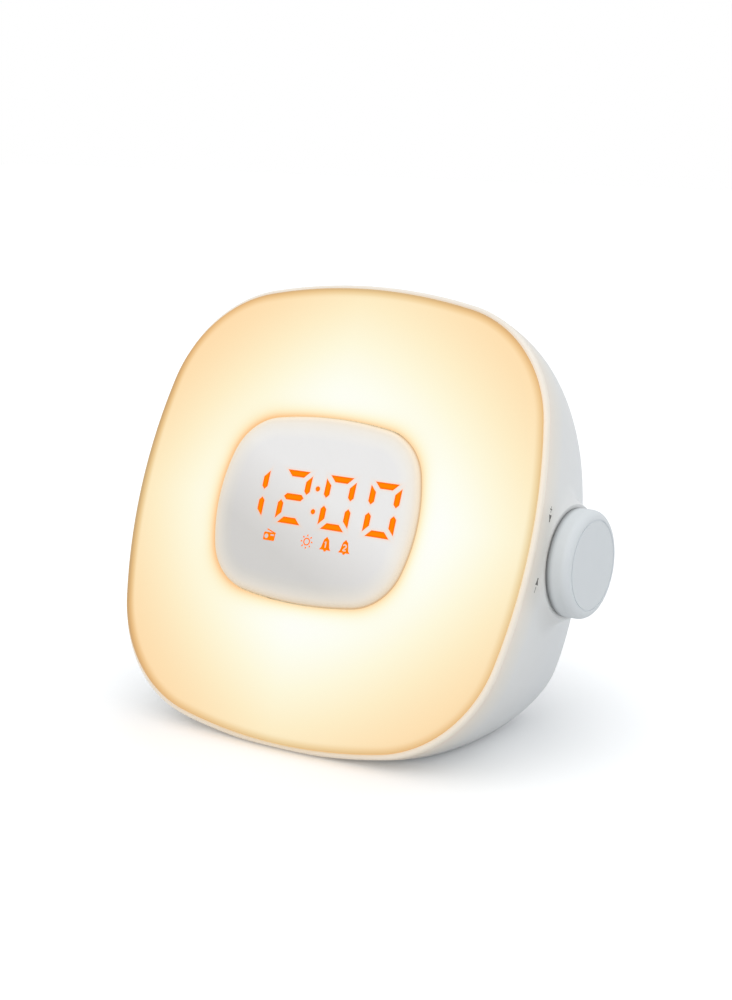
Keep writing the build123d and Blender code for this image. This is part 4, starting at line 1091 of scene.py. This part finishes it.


# strength of the lift = liftNear + (liftFar - liftNear) * (distance from the middle - liftFrom) /
# (liftTo - liftFrom), where the floor is seen; the floor is so painted darker near the object
def buildFloor():
    half = studio["floorSize"] / 2 * mm
    mesh = bpy.data.meshes.new("floor")
    mesh.from_pydata([(-half, -half, 0), (half, -half, 0), (half, half, 0), (-half, half, 0)], [],
                     [(0, 1, 2, 3)])
    floor = bpy.data.objects.new("floor", mesh)
    scene.collection.objects.link(floor)
    material = newMaterial("floorWhite", (1, 1, 1), 0.9, **{"Specular IOR Level": 0.0})
    seen = seenRay(material.node_tree)
    bounce, shown = (studio["floorBounce"],) * 3, (studio["floorSeen"],) * 3
    link(material, mixColours(material, seen, bounce, shown), "Base Color")
    away = placeStep(material, "LENGTH", placeOf(material))["Value"]
    near, far = studio["liftFrom"] * mm, studio["liftTo"] * mm
    lift = spread(material, away, studio["liftNear"], studio["liftFar"], near, far)
    shaderOf(material).inputs["Emission Color"].default_value = (*studio["floorLift"], 1)
    link(material, numberStep(material, "MULTIPLY", lift, seen), "Emission Strength")
    mesh.materials.append(material)


# the sky lights the object with its own strength and tint, and is plain white to a ray that sees it
def buildWorld():
    world = bpy.data.worlds.new("studio")
    scene.world = world
    world.use_nodes = True
    tree = world.node_tree
    background = tree.nodes["Background"]
    seen = seenRay(tree)
    strength = tree.nodes.new("ShaderNodeMapRange")
    strength.inputs["To Min"].default_value = studio["skyLight"]
    strength.inputs["To Max"].default_value = 1.0
    tree.links.new(seen, strength.inputs["Value"])
    tree.links.new(strength.outputs["Result"], background.inputs["Strength"])
    tint = tree.nodes.new("ShaderNodeMix")
    tint.data_type = "RGBA"
    tint.inputs[6].default_value = (*studio["skyTint"], 1)
    tint.inputs[7].default_value = (1, 1, 1, 1)
    tree.links.new(seen, tint.inputs[0])
    tree.links.new(tint.outputs[2], background.inputs["Color"])


# way = (sin turn * cos rise, -cos turn * cos rise, sin rise), with turn 0 at the front and 90 at the right
def wayTo(turn, rise):
    turn, rise = math.radians(turn), math.radians(rise)
    return Vector((math.sin(turn) * math.cos(rise), -math.cos(turn) * math.cos(rise), math.sin(rise)))


# a wide soft source, far away, that shines from the given turn and rise in degrees
def addSun(name, turn, rise, strength):
    light = bpy.data.lights.new(name, "SUN")
    light.energy = strength
    light.angle = math.radians(studio["sunSpread"])
    sun = bpy.data.objects.new(name, light)
    scene.collection.objects.link(sun)
    sun.rotation_euler = wayTo(turn, rise).to_track_quat("Z", "Y").to_euler()


view = {
    "turn": 33.414,
    "rise": 12.809,
    "distance": 720.0,
    "slide": 15.356,
    "lift": 5.309,
    "lens": 69.28,
    "near": 0.05,  # in metres, as is far
    "far": 20.0,
}


# camera = face middle + back * distance + right * slide + up * lift, looking along -back
def buildCamera():
    back = wayTo(view["turn"], view["rise"])
    turn = math.radians(view["turn"])
    right = Vector((math.cos(turn), math.sin(turn), 0))
    up = right.cross(-back)
    camera = bpy.data.objects.new("camera", bpy.data.cameras.new("camera"))
    scene.collection.objects.link(camera)
    camera.data.lens = view["lens"]
    camera.data.clip_start = view["near"]
    camera.data.clip_end = view["far"]
    place = Vector(faceMiddle) + back * view["distance"] + right * view["slide"] + up * view["lift"]
    axes = Matrix((right, up, back)).transposed().to_4x4()
    camera.matrix_world = Matrix.Translation(place * mm) @ axes
    scene.camera = camera


buildFloor()
buildWorld()
for name, (turn, rise, strength) in studio["suns"].items():
    addSun(name, turn, rise, strength)
buildCamera()
scene.view_settings.view_transform = "Standard"
print("studio set")
